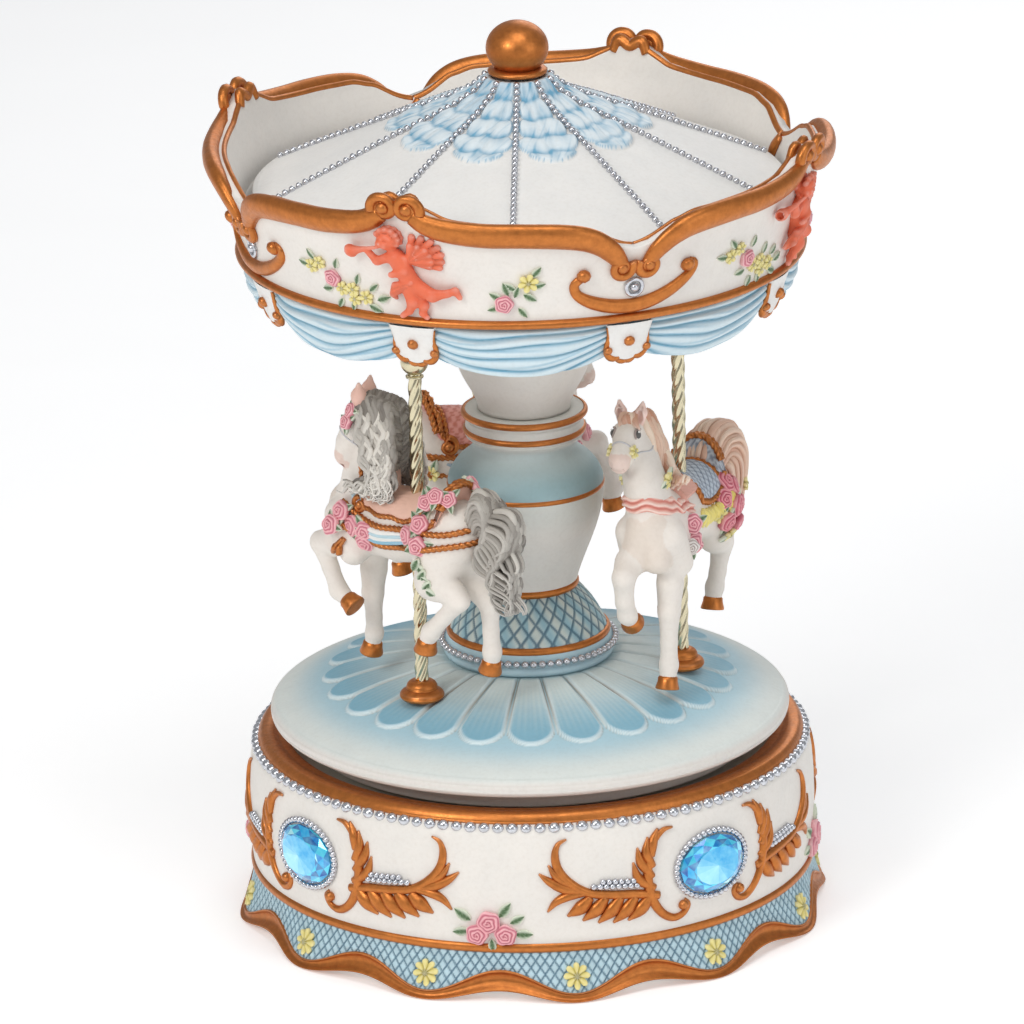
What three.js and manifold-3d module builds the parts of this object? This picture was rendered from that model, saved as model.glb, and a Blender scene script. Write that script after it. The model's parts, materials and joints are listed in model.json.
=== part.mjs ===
// A wind-up music box in the form of a carousel with three horses.
// A hollow base holds a spring movement.  The platform, column, canopy, poles and
// horses turn together on the spring barrel's shaft, and a key below winds the spring.
// Millimetres, +Z up, origin on the axis at the level of the four rubber feet.
// Angles around the axis are in degrees from the front (-Y), positive towards +X.
import * as THREE from "three";
import { mergeVertices } from "three/addons/utils/BufferGeometryUtils.js";
import Module from "manifold-3d";

const wasm = await Module();
wasm.setup();

// Driving dimensions
const GAP = 0.3; // clearance kept between neighbouring pieces

const BASE_RADIUS = 79;
const BASE_OPENING = 71;
const BASE_BORE = 70;
const BASE_CEILING = 44;
const RECESS_FLOOR = 46.5;
const RECESS_RADIUS = 68.2;
const RIM_TOP = 53.3;
const HEM_RADIUS = 81.4;
const HEM_SWING = 1.3; // in and out movement of the ruffled hem
const HEM_LOW = 0.6;
const HEM_RISE = 2.6;
const HEM_WAVES = 12;
const HEM_PHASE = 8;

const FOOT_RADIUS = 4;
const FOOT_CIRCLE = 75.2;
const FOOT_HEIGHT = 1.7;
const COVER_BOTTOM = 15;
const COVER_TOP = 17.5;
const COVER_SCREW_CIRCLE = 64;
const COVER_SCREW_ANGLES = [30, 150, 270];
const COVER_KEY_HOLE = 4;
const SOUND_HOLES = 6;
const SOUND_HOLE_CIRCLE = 33;
const SOUND_HOLE_RADIUS = 2.5;
const SCREW_HOLE_RADIUS = 1.7;
const SCREW_SHANK_RADIUS = 1.25;
const COVER_SCREW_TOP = 27;

const GEM_ANGLES = [38, 128, 218, 308];
const GEM_HALF_WIDTH = 11;
const GEM_HALF_HEIGHT = 8.25;
const GEM_DEPTH = 3.4;
const GEM_HEIGHT = 33;
const GEM_BACK = 80.5;
const BEZEL_WIRE = 1.1;

const PEARL_RING_RADIUS = 77.2;
const PEARL_RING_HEIGHT = 49.5;
const PEARL_RADIUS = 1.25;

const PLATFORM_RADIUS = 73.2;
const PLATFORM_TOP = 73.8;
const SHAFT_RADIUS = 3;
const TIE_ROD_RADIUS = 2;
const COLUMN_BORE = TIE_ROD_RADIUS + 0.4;

const POLE_RADIUS = 1.8;
const POLE_CIRCLE = 44;
const POLE_TOP = 184.2;
const POLE_CAP_HEIGHT = 170;
const POLE_CAP_RADIUS = 3.75;
const COLLAR_RADIUS = 6;

const CEILING_BOTTOM = 184.5;
const CEILING_TOP = 187;
const VALANCE_RADIUS = 75;
const VALANCE_BORE = 69;
const VALANCE_TOP = 192.4;
const SWAG_LOW = 178;
const SWAG_RISE = 3.5;
const SWAGS = 8;
const SWAG_PHASE = -0.5; // a swag hangs lowest here, its tabs half a swag to each side
const CROWN_PHASE = -23; // the crown is highest here and at each quarter turn
const CROWN_MID = 223;
const CROWN_SWING = 5.5;
const CROWN_RADIUS = 85;
const ROOF_SKIRT = 75.3;
const ROOF_TOP = 242.4;
const FINIAL_CENTRE = 250;
const FINIAL_RADIUS = 8.7;
const FINIAL_HALF_HEIGHT = 7.6;

// Movement: the barrel turns with the platform and drives the pinned cylinder, the
// idler and the air-brake fly through a crown gear, a gear pair and a worm.
const BEDPLATE_BOTTOM = 17.9;
const BEDPLATE_TOP = 19.9;
const BARREL_RADIUS = 15.2;
const BARREL_BOTTOM = 21;
const BARREL_TOP = 29.4;
const CROWN_TEETH = 36;
const CROWN_TOOTH_HEIGHT = 1.7;
const PINION_TEETH = 9;
const CYLINDER_AXIS_Z = 33.8;
const CYLINDER_RADIUS = 6.3;
const CYLINDER_START = 18.3;
const CYLINDER_LENGTH = 20;
const TUNE_TRACKS = 18;
const PIN_LENGTH = 0.5;
const GEAR_MODULE = 0.7;
const CYLINDER_GEAR_TEETH = 18;
const IDLER_TEETH = 9;
const WORM_WHEEL_TEETH = 16;
const GEAR_START = 39.3;
const GEAR_WIDTH = 1.5;
const WHEEL_START = 44;
const WHEEL_WIDTH = 1.2;
const WORM_STARTS = 2;
const WORM_RADIUS = 1.9;
const IDLER_Y = (-GEAR_MODULE * (CYLINDER_GEAR_TEETH + IDLER_TEETH)) / 2;
const WHEEL_RADIUS = (GEAR_MODULE * WORM_WHEEL_TEETH) / 2;
const FLY_X = WHEEL_START + WHEEL_WIDTH / 2;
const FLY_Y = IDLER_Y - WHEEL_RADIUS - WORM_RADIUS;
const KEY_SHAFT_RADIUS = 2.6;

// Materials
const finish = (color, roughness, metalness = 0) => ({ color, roughness, metalness });
const FINISHES = {
  cream: finish(0xe6e0d8, 0.55),
  pale_blue: finish(0xb6d4de, 0.55),
  copper: finish(0xb8713a, 0.35, 0.7),
  silver: finish(0xd4d6da, 0.25, 0.9),
  gem: finish(0x0fa0dc, 0.08),
  brass: finish(0xcdb877, 0.25, 0.9),
  steel: finish(0xa9adb2, 0.35, 0.9),
  dark_plastic: finish(0x2c2d30, 0.6),
  rubber: finish(0x242424, 0.85),
};

const radians = THREE.MathUtils.degToRad;

// Any closed three.js geometry as an indexed mesh of positions that faces outwards.
function closed(geometry) {
  const plain = geometry.index ? geometry.toNonIndexed() : geometry.clone();
  plain.deleteAttribute("normal");
  plain.deleteAttribute("uv");
  const merged = mergeVertices(plain, 1e-4);
  const position = merged.getAttribute("position");
  const index = merged.index.array;
  const kept = [];
  const corner = [new THREE.Vector3(), new THREE.Vector3(), new THREE.Vector3()];
  let sixVolumes = 0;
  for (let i = 0; i < index.length; i += 3) {
    const [a, b, c] = [index[i], index[i + 1], index[i + 2]];
    if (a === b || b === c || c === a) continue;
    kept.push(a, b, c);
    corner[0].fromBufferAttribute(position, a);
    corner[1].fromBufferAttribute(position, b);
    corner[2].fromBufferAttribute(position, c);
    sixVolumes += corner[0].dot(corner[1].cross(corner[2]));
  }
  if (sixVolumes < 0) {
    for (let i = 0; i < kept.length; i += 3) {
      [kept[i + 1], kept[i + 2]] = [kept[i + 2], kept[i + 1]];
    }
  }
  merged.setIndex(kept);
  return merged;
}

function solidOf(geometry) {
  const mesh = closed(geometry);
  return new wasm.Manifold(
    new wasm.Mesh({
      numProp: 3,
      vertProperties: new Float32Array(mesh.getAttribute("position").array),
      triVerts: new Uint32Array(mesh.index.array),
    }),
  );
}

function geometryOf(solid) {
  const mesh = solid.getMesh();
  const made = new THREE.BufferGeometry();
  made.setAttribute("position", new THREE.BufferAttribute(mesh.vertProperties, 3));
  made.setIndex(new THREE.BufferAttribute(mesh.triVerts, 1));
  return made;
}

function join(...geometries) {
  return geometryOf(geometries.map(solidOf).reduce((all, next) => all.add(next)));
}

function cut(geometry, ...tools) {
  return geometryOf(tools.map(solidOf).reduce((left, tool) => left.subtract(tool), solidOf(geometry)));
}

// A turned piece: an outline of [radius, height] points swept round +Z.
function turned(outline, segments) {
  const points = outline.map(([r, z]) => new THREE.Vector2(r, z));
  return closed(new THREE.LatheGeometry(points, segments).rotateX(Math.PI / 2));
}

function ring(outline, segments) {
  return turned([...outline, outline[0]], segments);
}

// Moves each vertex of a turned piece by a rule of its angle, radius and height.
function reshape(geometry, rule) {
  const position = geometry.getAttribute("position");
  for (let i = 0; i < position.count; i++) {
    const [x, y, z] = [position.getX(i), position.getY(i), position.getZ(i)];
    const angle = Math.atan2(x, -y);
    const [radius, height] = rule(angle, Math.hypot(x, y), z);
    position.setXYZ(i, radius * Math.sin(angle), -radius * Math.cos(angle), height);
  }
  return geometry;
}

function block(x0, x1, y0, y1, z0, z1) {
  const box = new THREE.BoxGeometry(x1 - x0, y1 - y0, z1 - z0);
  return box.translate((x0 + x1) / 2, (y0 + y1) / 2, (z0 + z1) / 2);
}

const UP = new THREE.Vector3(0, 0, 1);

// A tapered limb with blunt cone ends between two points [x, y, z, radius].
function limb(from, to, sides = 8) {
  const start = new THREE.Vector3(...from);
  const end = new THREE.Vector3(...to);
  const [r0, r1] = [from[3], to[3]];
  const length = start.distanceTo(end);
  const bluntness = 0.75;
  const shape = turned([[0, -r0 * bluntness], [r0, 0], [r1, length], [0, length + r1 * bluntness]], sides);
  const turn = new THREE.Quaternion().setFromUnitVectors(UP, end.clone().sub(start).normalize());
  return shape.applyQuaternion(turn).translate(start.x, start.y, start.z);
}

function rod(from, to, radius, sides = 12) {
  const start = new THREE.Vector3(...from);
  const end = new THREE.Vector3(...to);
  const shape = new THREE.CylinderGeometry(radius, radius, start.distanceTo(end), sides).rotateX(Math.PI / 2);
  const turn = new THREE.Quaternion().setFromUnitVectors(UP, end.clone().sub(start).normalize());
  const middle = start.add(end).multiplyScalar(0.5);
  return closed(shape.applyQuaternion(turn).translate(middle.x, middle.y, middle.z));
}

function extruded(outline, depth, options = {}) {
  const shape = new THREE.Shape(outline.map(([x, y]) => new THREE.Vector2(x, y)));
  return new THREE.ExtrudeGeometry(shape, { depth, bevelEnabled: false, ...options });
}

function circle(x, y, radius, sides) {
  const corner = (_, i) => {
    const angle = (Math.PI * 2 * i) / sides;
    return new THREE.Vector2(x + radius * Math.cos(angle), y + radius * Math.sin(angle));
  };
  return Array.from({ length: sides }, corner);
}

const hole = (x, y, radius, sides = 8) => new THREE.Path(circle(x, y, radius, sides));

// The outline of a spur gear with straight-sided teeth, one tooth centred on angle zero.
function gearOutline(teeth, root, tip, rootShare, tipShare) {
  const pitch = (Math.PI * 2) / teeth;
  const corners = [[root, -rootShare], [tip, -tipShare], [tip, tipShare], [root, rootShare]];
  const points = [];
  for (let tooth = 0; tooth < teeth; tooth++) {
    for (const [radius, share] of corners) {
      const angle = pitch * (tooth + share / 2);
      points.push([radius * Math.cos(angle), radius * Math.sin(angle)]);
    }
  }
  return points;
}

// A gear on an axis along +X, from x = start, with its first tooth at the given angle.
function gearAlongX(outline, start, width, y, z, firstTooth) {
  const gear = extruded(outline, width).rotateZ(firstTooth);
  return closed(gear.rotateY(Math.PI / 2).translate(start, y, z));
}

const polar = (radius, angle) => [radius * Math.sin(radians(angle)), -radius * Math.cos(radians(angle))];

const musicBox = new THREE.Group();

function group(parent = musicBox) {
  const made = new THREE.Group();
  parent.add(made);
  return made;
}

function add(parent, name, geometry, finishName) {
  const mesh = new THREE.Mesh(geometry, new THREE.MeshStandardMaterial(FINISHES[finishName]));
  mesh.name = name;
  parent.add(mesh);
  return mesh;
}

// Base: a heavy cast drum with a ruffled hem, open below, with a recess on top
const base = group();

function baseShell() {
  const outline = [
    [BASE_OPENING, 2],
    [79.6, 2],
    [HEM_RADIUS, HEM_LOW],
    [HEM_RADIUS + 0.6, HEM_LOW + 2],
    [BASE_RADIUS, 13.4],
    [80.2, 15],
    [79.8, 26],
    [79.8, 37],
    [78.6, 46.5],
    [75.6, 48],
    [75.6, 51],
    [76.4, 52.2],
    [70, RIM_TOP],
    [RECESS_RADIUS, 52],
    [RECESS_RADIUS, RECESS_FLOOR],
    [5, RECESS_FLOOR],
    [5, BASE_CEILING],
    [BASE_BORE, BASE_CEILING],
    [BASE_BORE, COVER_TOP + GAP],
    [BASE_OPENING, COVER_TOP + GAP],
  ];
  const hemTop = HEM_LOW + 5;
  const drum = reshape(ring(outline, HEM_WAVES * 4), (angle, radius, height) => {
    if (radius < 80 || height > hemTop) return [radius, height];
    const wave = Math.cos(HEM_WAVES * (angle - radians(HEM_PHASE)));
    return [radius + HEM_SWING * wave, height + (HEM_RISE * (1 - wave)) / 2];
  });
  const bosses = COVER_SCREW_ANGLES.map((angle) => {
    const [x, y] = polar(COVER_SCREW_CIRCLE, angle);
    return rod([x, y, COVER_TOP + GAP], [x, y, BASE_CEILING + 1], 5, 8);
  });
  const pilots = COVER_SCREW_ANGLES.map((angle) => {
    const [x, y] = polar(COVER_SCREW_CIRCLE, angle);
    return rod([x, y, COVER_TOP - 1], [x, y, 28], 1.6, 6);
  });
  return cut(join(drum, ...bosses), ...pilots);
}

add(base, "base_shell", baseShell(), "cream");
add(
  base,
  "rim_bead_strand",
  closed(new THREE.TorusGeometry(PEARL_RING_RADIUS, PEARL_RADIUS, 4, 40).translate(0, 0, PEARL_RING_HEIGHT)),
  "silver",
);

const SIDES = ["front_right", "back_right", "back_left", "front_left"];

// Places a piece that faces +Z against the drum, facing outwards at the given angle.
function onDrum(geometry, angle, radius, height) {
  const facing = geometry.rotateX(Math.PI / 2);
  return facing.translate(0, -radius, height).rotateZ(radians(angle));
}

GEM_ANGLES.forEach((angle, i) => {
  const facets = [[0, 0], [0.9, 0], [1, 0.25], [0.74, 0.75], [0.45, 1], [0, 1]];
  const cutStone = turned(facets, 12).scale(GEM_HALF_WIDTH, GEM_HALF_HEIGHT, GEM_DEPTH);
  add(base, "gem_" + SIDES[i], onDrum(cutStone, angle, GEM_BACK, GEM_HEIGHT), "gem");
  const bezel = new THREE.TorusGeometry(1, 0.09, 4, 16);
  bezel.scale(GEM_HALF_WIDTH + BEZEL_WIRE + 0.8, GEM_HALF_HEIGHT + BEZEL_WIRE + 0.8, BEZEL_WIRE / 0.09);
  const strand = onDrum(closed(bezel), angle, GEM_BACK + BEZEL_WIRE, GEM_HEIGHT);
  add(base, "gem_beads_" + SIDES[i], strand, "silver");
  const [x, y] = polar(FOOT_CIRCLE, angle);
  add(base, "foot_pad_" + SIDES[i], rod([x, y, 0], [x, y, FOOT_HEIGHT], FOOT_RADIUS, 16), "rubber");
});

// Bottom cover, with the key hole, sound holes and screw holes
const MOVEMENT_SCREWS = [[-13, 17], [46, 12]];

function bottomCover() {
  const disc = new THREE.Shape(circle(0, 0, BASE_OPENING - GAP, 40));
  disc.holes.push(hole(0, 0, COVER_KEY_HOLE, 12));
  for (let i = 0; i < SOUND_HOLES; i++) {
    const [x, y] = polar(SOUND_HOLE_CIRCLE, (360 * i) / SOUND_HOLES);
    disc.holes.push(hole(x, y, SOUND_HOLE_RADIUS));
  }
  for (const angle of COVER_SCREW_ANGLES) {
    disc.holes.push(hole(...polar(COVER_SCREW_CIRCLE, angle), SCREW_HOLE_RADIUS));
  }
  for (const [x, y] of MOVEMENT_SCREWS) disc.holes.push(hole(x, y, SCREW_HOLE_RADIUS));
  const depth = COVER_TOP - COVER_BOTTOM;
  const plate = new THREE.ExtrudeGeometry(disc, { depth, bevelEnabled: false });
  return closed(plate.translate(0, 0, COVER_BOTTOM));
}

// A round-headed screw that points up, with its head below z = seat.
function screw(x, y, seat, shankTop, shankRadius, headRadius) {
  const outline = [
    [0, seat - 2.2],
    [headRadius * 0.7, seat - 2],
    [headRadius, seat - GAP - 0.4],
    [headRadius, seat - GAP],
    [shankRadius, seat - GAP],
    [shankRadius, shankTop],
    [0, shankTop],
  ];
  return turned(outline, 8).translate(x, y, 0);
}

add(base, "bottom_cover", bottomCover(), "dark_plastic");
COVER_SCREW_ANGLES.forEach((angle, i) => {
  const [x, y] = polar(COVER_SCREW_CIRCLE, angle);
  const solid = screw(x, y, COVER_BOTTOM, COVER_SCREW_TOP, SCREW_SHANK_RADIUS, 3);
  add(base, "cover_screw_" + (i + 1), solid, "steel");
});
MOVEMENT_SCREWS.forEach(([x, y], i) => {
  const solid = screw(x, y, COVER_BOTTOM, BEDPLATE_TOP - 0.2, SCREW_SHANK_RADIUS, 2.8);
  add(base, "movement_screw_" + (i + 1), solid, "steel");
});
add(
  base,
  "shaft_bushing",
  ring(
    [
      [SHAFT_RADIUS + GAP, BASE_CEILING - 0.2],
      [5 - GAP, BASE_CEILING - 0.2],
      [5 - GAP, RECESS_FLOOR + GAP],
      [8, RECESS_FLOOR + GAP],
      [8, RECESS_FLOOR + 1.2],
      [SHAFT_RADIUS + GAP, RECESS_FLOOR + 1.2],
    ],
    16,
  ),
  "brass",
);

// Movement frame: the bedplate with its comb pedestal and bearing posts
const POST_SPANS = [[15.9, 17.6], [42, 43.5]];
const COMB_SCREWS = [[23, 21], [34, 21]];
const COMB_BOTTOM = CYLINDER_AXIS_Z - 0.5;
const COMB_FRONT = CYLINDER_RADIUS + PIN_LENGTH + 0.45;
const COMB_THICKNESS = 1;
const COMB_BACK = 25;
const BEARING_RADIUS = 1.5; // bore of a post round the cylinder's arbor
const BRACKET_FOOT = BEDPLATE_TOP + GAP;
const BRACKET_TOP = 39.4;

function bedplate() {
  const plate = block(-18, 51, -22, COMB_BACK, BEDPLATE_BOTTOM, BEDPLATE_TOP);
  const pedestal = block(CYLINDER_START, 38.3, 17, COMB_BACK, BEDPLATE_TOP - 1, COMB_BOTTOM - GAP);
  const posts = POST_SPANS.map(([x0, x1]) => block(x0, x1, -3.5, 3.5, BEDPLATE_TOP - 1, CYLINDER_AXIS_Z + 3));
  const bores = [
    rod([0, 0, 10], [0, 0, 25], 4, 12),
    rod([10, 0, CYLINDER_AXIS_Z], [50, 0, CYLINDER_AXIS_Z], BEARING_RADIUS, 10),
    ...MOVEMENT_SCREWS.map(([x, y]) => rod([x, y, 10], [x, y, 25], 1.6, 8)),
    ...COMB_SCREWS.map(([x, y]) => rod([x, y, 26], [x, y, 40], 1.2, 8)),
  ];
  return cut(join(plate, pedestal, ...posts), ...bores);
}

function comb() {
  const pitch = CYLINDER_LENGTH / TUNE_TRACKS;
  const reed = pitch * 0.64;
  const outline = [];
  for (let i = 0; i < TUNE_TRACKS; i++) {
    const left = CYLINDER_START + pitch * i + (pitch - reed) / 2;
    const root = 15.5 - 0.12 * i;
    outline.push([left, root], [left, COMB_FRONT], [left + reed, COMB_FRONT], [left + reed, root]);
  }
  outline.push([38.1, COMB_BACK], [18.5, COMB_BACK]);
  const shape = new THREE.Shape(outline.map(([x, y]) => new THREE.Vector2(x, y)));
  COMB_SCREWS.forEach(([x, y]) => shape.holes.push(hole(x, y, 1.2)));
  const plate = new THREE.ExtrudeGeometry(shape, { depth: COMB_THICKNESS, bevelEnabled: false });
  return closed(plate.translate(0, 0, COMB_BOTTOM));
}

// A cheese-headed screw that points down from above the comb.
function combScrew(x, y) {
  const seat = COMB_BOTTOM + COMB_THICKNESS + GAP;
  const outline = [[0, 27], [0.9, 27], [0.9, seat], [2, seat], [2, seat + 1.3], [0, seat + 1.3]];
  return turned(outline, 8).translate(x, y, 0);
}

function governorBracket() {
  const inner = block(37.2, 38.3, -13, -7.3, BRACKET_FOOT, 37);
  const outer = block(47.6, 48.8, -19, -6, BRACKET_FOOT, BRACKET_TOP);
  const foot = block(37.2, 48.8, -13, -7.3, BRACKET_FOOT, BRACKET_FOOT + 1);
  const lowerArm = block(42.8, 48.8, -19, -14.3, 27.2, 28.2);
  const upperArm = block(42.8, 48.8, -19, -14.3, BRACKET_TOP - 1, BRACKET_TOP);
  const idlerBore = rod([36, IDLER_Y, CYLINDER_AXIS_Z], [50, IDLER_Y, CYLINDER_AXIS_Z], 1.2, 10);
  const flyBore = rod([FLY_X, FLY_Y, 26], [FLY_X, FLY_Y, 42], 0.95, 10);
  return cut(join(inner, outer, foot, lowerArm, upperArm), idlerBore, flyBore);
}

// The click stops the winding arbor from running back.
function click() {
  const arm = extruded([[-11, 8], [-9, 8], [-4.5, 4.6], [-5.4, 4], [-11, 6]], 0.7);
  return closed(arm.translate(0, 0, BEDPLATE_TOP + 0.2));
}

add(base, "bedplate", bedplate(), "brass");
add(base, "reed_comb", comb(), "steel");
COMB_SCREWS.forEach(([x, y], i) => add(base, "comb_screw_" + (i + 1), combScrew(x, y), "steel"));
add(base, "governor_bracket", governorBracket(), "steel");
add(base, "ratchet_click", click(), "steel");

// Turntable body: barrel, shaft, platform, column, canopy, poles and horses
const turntable = group();

function springBarrel() {
  const cup = ring(
    [
      [3.4, BARREL_BOTTOM],
      [BARREL_RADIUS, BARREL_BOTTOM],
      [BARREL_RADIUS, BARREL_TOP],
      [12, BARREL_TOP],
      [12, BARREL_BOTTOM + 1.2],
      [3.4, BARREL_BOTTOM + 1.2],
    ],
    24,
  );
  const teeth = [];
  for (let i = 0; i < CROWN_TEETH; i++) {
    const tooth = block(12.3, 14.9, -0.42, 0.42, BARREL_TOP - 0.5, BARREL_TOP + CROWN_TOOTH_HEIGHT);
    teeth.push(tooth.rotateZ((Math.PI * 2 * i) / CROWN_TEETH));
  }
  return join(cup, ...teeth);
}

// The mainspring: a flat strip wound in a spiral between the arbor and the barrel's wall.
function mainspring() {
  const [inner, outer, turns, thickness] = [4.2, 11.2, 3, 0.45];
  const steps = turns * 12;
  const edge = (offset) =>
    Array.from({ length: steps + 1 }, (_, i) => {
      const angle = (Math.PI * 2 * turns * i) / steps;
      const radius = inner + ((outer - inner) * i) / steps + offset;
      return [radius * Math.cos(angle), radius * Math.sin(angle)];
    });
  const strip = extruded([...edge(thickness), ...edge(0).reverse()], 5.8);
  return closed(strip.translate(0, 0, BARREL_BOTTOM + 1.6));
}

add(turntable, "spring_barrel", springBarrel(), "brass");
add(turntable, "mainspring", mainspring(), "steel");
add(turntable, "barrel_cover", turned([[0, 28.8], [11.7, 28.8], [11.7, 29.9], [0, 29.9]], 20), "brass");
add(
  turntable,
  "drive_shaft",
  turned(
    [[0, 30.2], [6, 30.2], [6, 31.6], [SHAFT_RADIUS, 32.4], [SHAFT_RADIUS, 57.5], [0, 57.5]],
    16,
  ),
  "steel",
);

add(
  turntable,
  "platform",
  ring(
    [
      [SHAFT_RADIUS + GAP, 48.1],
      [9, 48.1],
      [9, 50.4],
      [63.4, 50.4],
      [63.4, 55.8],
      [71.6, 56.4],
      [PLATFORM_RADIUS, 59.4],
      [70, 62.2],
      [58, 66.6],
      [44, 70.6],
      [24.5, PLATFORM_TOP],
      [SHAFT_RADIUS + GAP, PLATFORM_TOP],
    ],
    36,
  ),
  "pale_blue",
);

const COLUMN_PIECES = {
  column_foot: [
    [COLUMN_BORE, 74.1],
    [23.8, 74.1],
    [23.8, 76],
    [22.6, 78.8],
    [23.2, 80.8],
    [22.3, 82.4],
    [20.4, 87],
    [17.2, 91],
    [13.8, 93.6],
    [COLUMN_BORE, 93.6],
  ],
  column_vase: [
    [COLUMN_BORE, 94],
    [14.6, 94],
    [15.2, 95.3],
    [14.4, 96.8],
    [17.7, 104],
    [20.2, 113],
    [22, 124.4],
    [21.3, 127.4],
    [18.8, 131],
    [14.2, 135],
    [13.4, 136.4],
    [COLUMN_BORE, 136.4],
  ],
  column_capital: [
    [COLUMN_BORE, 136.8],
    [13.6, 136.8],
    [17, 139.6],
    [17.4, 141],
    [16.8, 143.6],
    [17.7, 145],
    [16.8, 146.2],
    [13.3, 146.6],
    [14.2, 151.5],
    [18.5, 158],
    [21, 168],
    [25, POLE_TOP],
    [COLUMN_BORE, POLE_TOP],
  ],
};
for (const [name, outline] of Object.entries(COLUMN_PIECES)) {
  add(turntable, name, ring(outline, 20), name === "column_foot" ? "pale_blue" : "cream");
}
add(turntable, "tie_rod", rod([0, 0, 58], [0, 0, 251], TIE_ROD_RADIUS, 10), "steel");

// Canopy: a flat ceiling, a swagged valance, a flaring crown with a waved edge, a roof
function valance() {
  const outline = [
    [VALANCE_BORE, SWAG_LOW],
    [71.4, SWAG_LOW],
    [73.4, SWAG_LOW + 4],
    [VALANCE_RADIUS, 188],
    [VALANCE_RADIUS + 1.6, VALANCE_TOP],
    [VALANCE_BORE, VALANCE_TOP],
  ];
  return reshape(ring(outline, SWAGS * 6), (angle, radius, height) => {
    if (height > SWAG_LOW + 5) return [radius, height];
    const hang = Math.abs(Math.sin((SWAGS * (angle - radians(SWAG_PHASE))) / 2));
    return [radius, height + SWAG_RISE * hang ** 3];
  });
}

function crown() {
  const outline = [
    [VALANCE_BORE, VALANCE_TOP + GAP],
    [77.6, VALANCE_TOP + GAP],
    [79.3, 194.2],
    [78.2, 196],
    [82, 212.5],
    [CROWN_RADIUS, CROWN_MID - 2],
    [CROWN_RADIUS - 0.6, CROWN_MID],
    [82, CROWN_MID],
    [78.8, 212.4],
    [75.6, 211.4],
    [75.6, 197.2],
    [VALANCE_BORE, 197.2],
  ];
  return reshape(ring(outline, 48), (angle, radius, height) => {
    const share = THREE.MathUtils.clamp((height - 206) / (CROWN_MID - 3 - 206), 0, 1);
    const wave = Math.cos(4 * (angle - radians(CROWN_PHASE)));
    return [radius, height + CROWN_SWING * wave * share];
  });
}

add(
  turntable,
  "canopy_ceiling",
  ring(
    [
      [COLUMN_BORE, CEILING_BOTTOM],
      [VALANCE_BORE - GAP, CEILING_BOTTOM],
      [VALANCE_BORE - GAP, CEILING_TOP],
      [COLUMN_BORE, CEILING_TOP],
    ],
    32,
  ),
  "cream",
);
add(turntable, "canopy_valance", valance(), "pale_blue");
add(turntable, "canopy_crown", crown(), "cream");
add(
  turntable,
  "canopy_roof",
  ring(
    [
      [72.6, 197.5],
      [ROOF_SKIRT, 197.5],
      [ROOF_SKIRT, 211.2],
      [73, 212.2],
      [30, 230],
      [16, 236.4],
      [7.8, ROOF_TOP],
      [COLUMN_BORE, ROOF_TOP],
      [COLUMN_BORE, 238],
      [30, 226.4],
      [72.6, 208.6],
    ],
    28,
  ),
  "cream",
);

function finial() {
  const outline = [[0, FINIAL_CENTRE + 2], [COLUMN_BORE, FINIAL_CENTRE + 2], [COLUMN_BORE, ROOF_TOP + GAP]];
  outline.push([8, ROOF_TOP + GAP], [8.2, 243.6], [7.2, 244.6]);
  const steps = 6;
  for (let i = 0; i <= steps; i++) {
    const latitude = -0.75 + ((Math.PI / 2 + 0.75) * i) / steps;
    const radius = FINIAL_RADIUS * Math.cos(latitude);
    outline.push([i === steps ? 0 : radius, FINIAL_CENTRE + FINIAL_HALF_HEIGHT * Math.sin(latitude)]);
  }
  return turned(outline, 16);
}
add(turntable, "finial", finial(), "copper");

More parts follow.
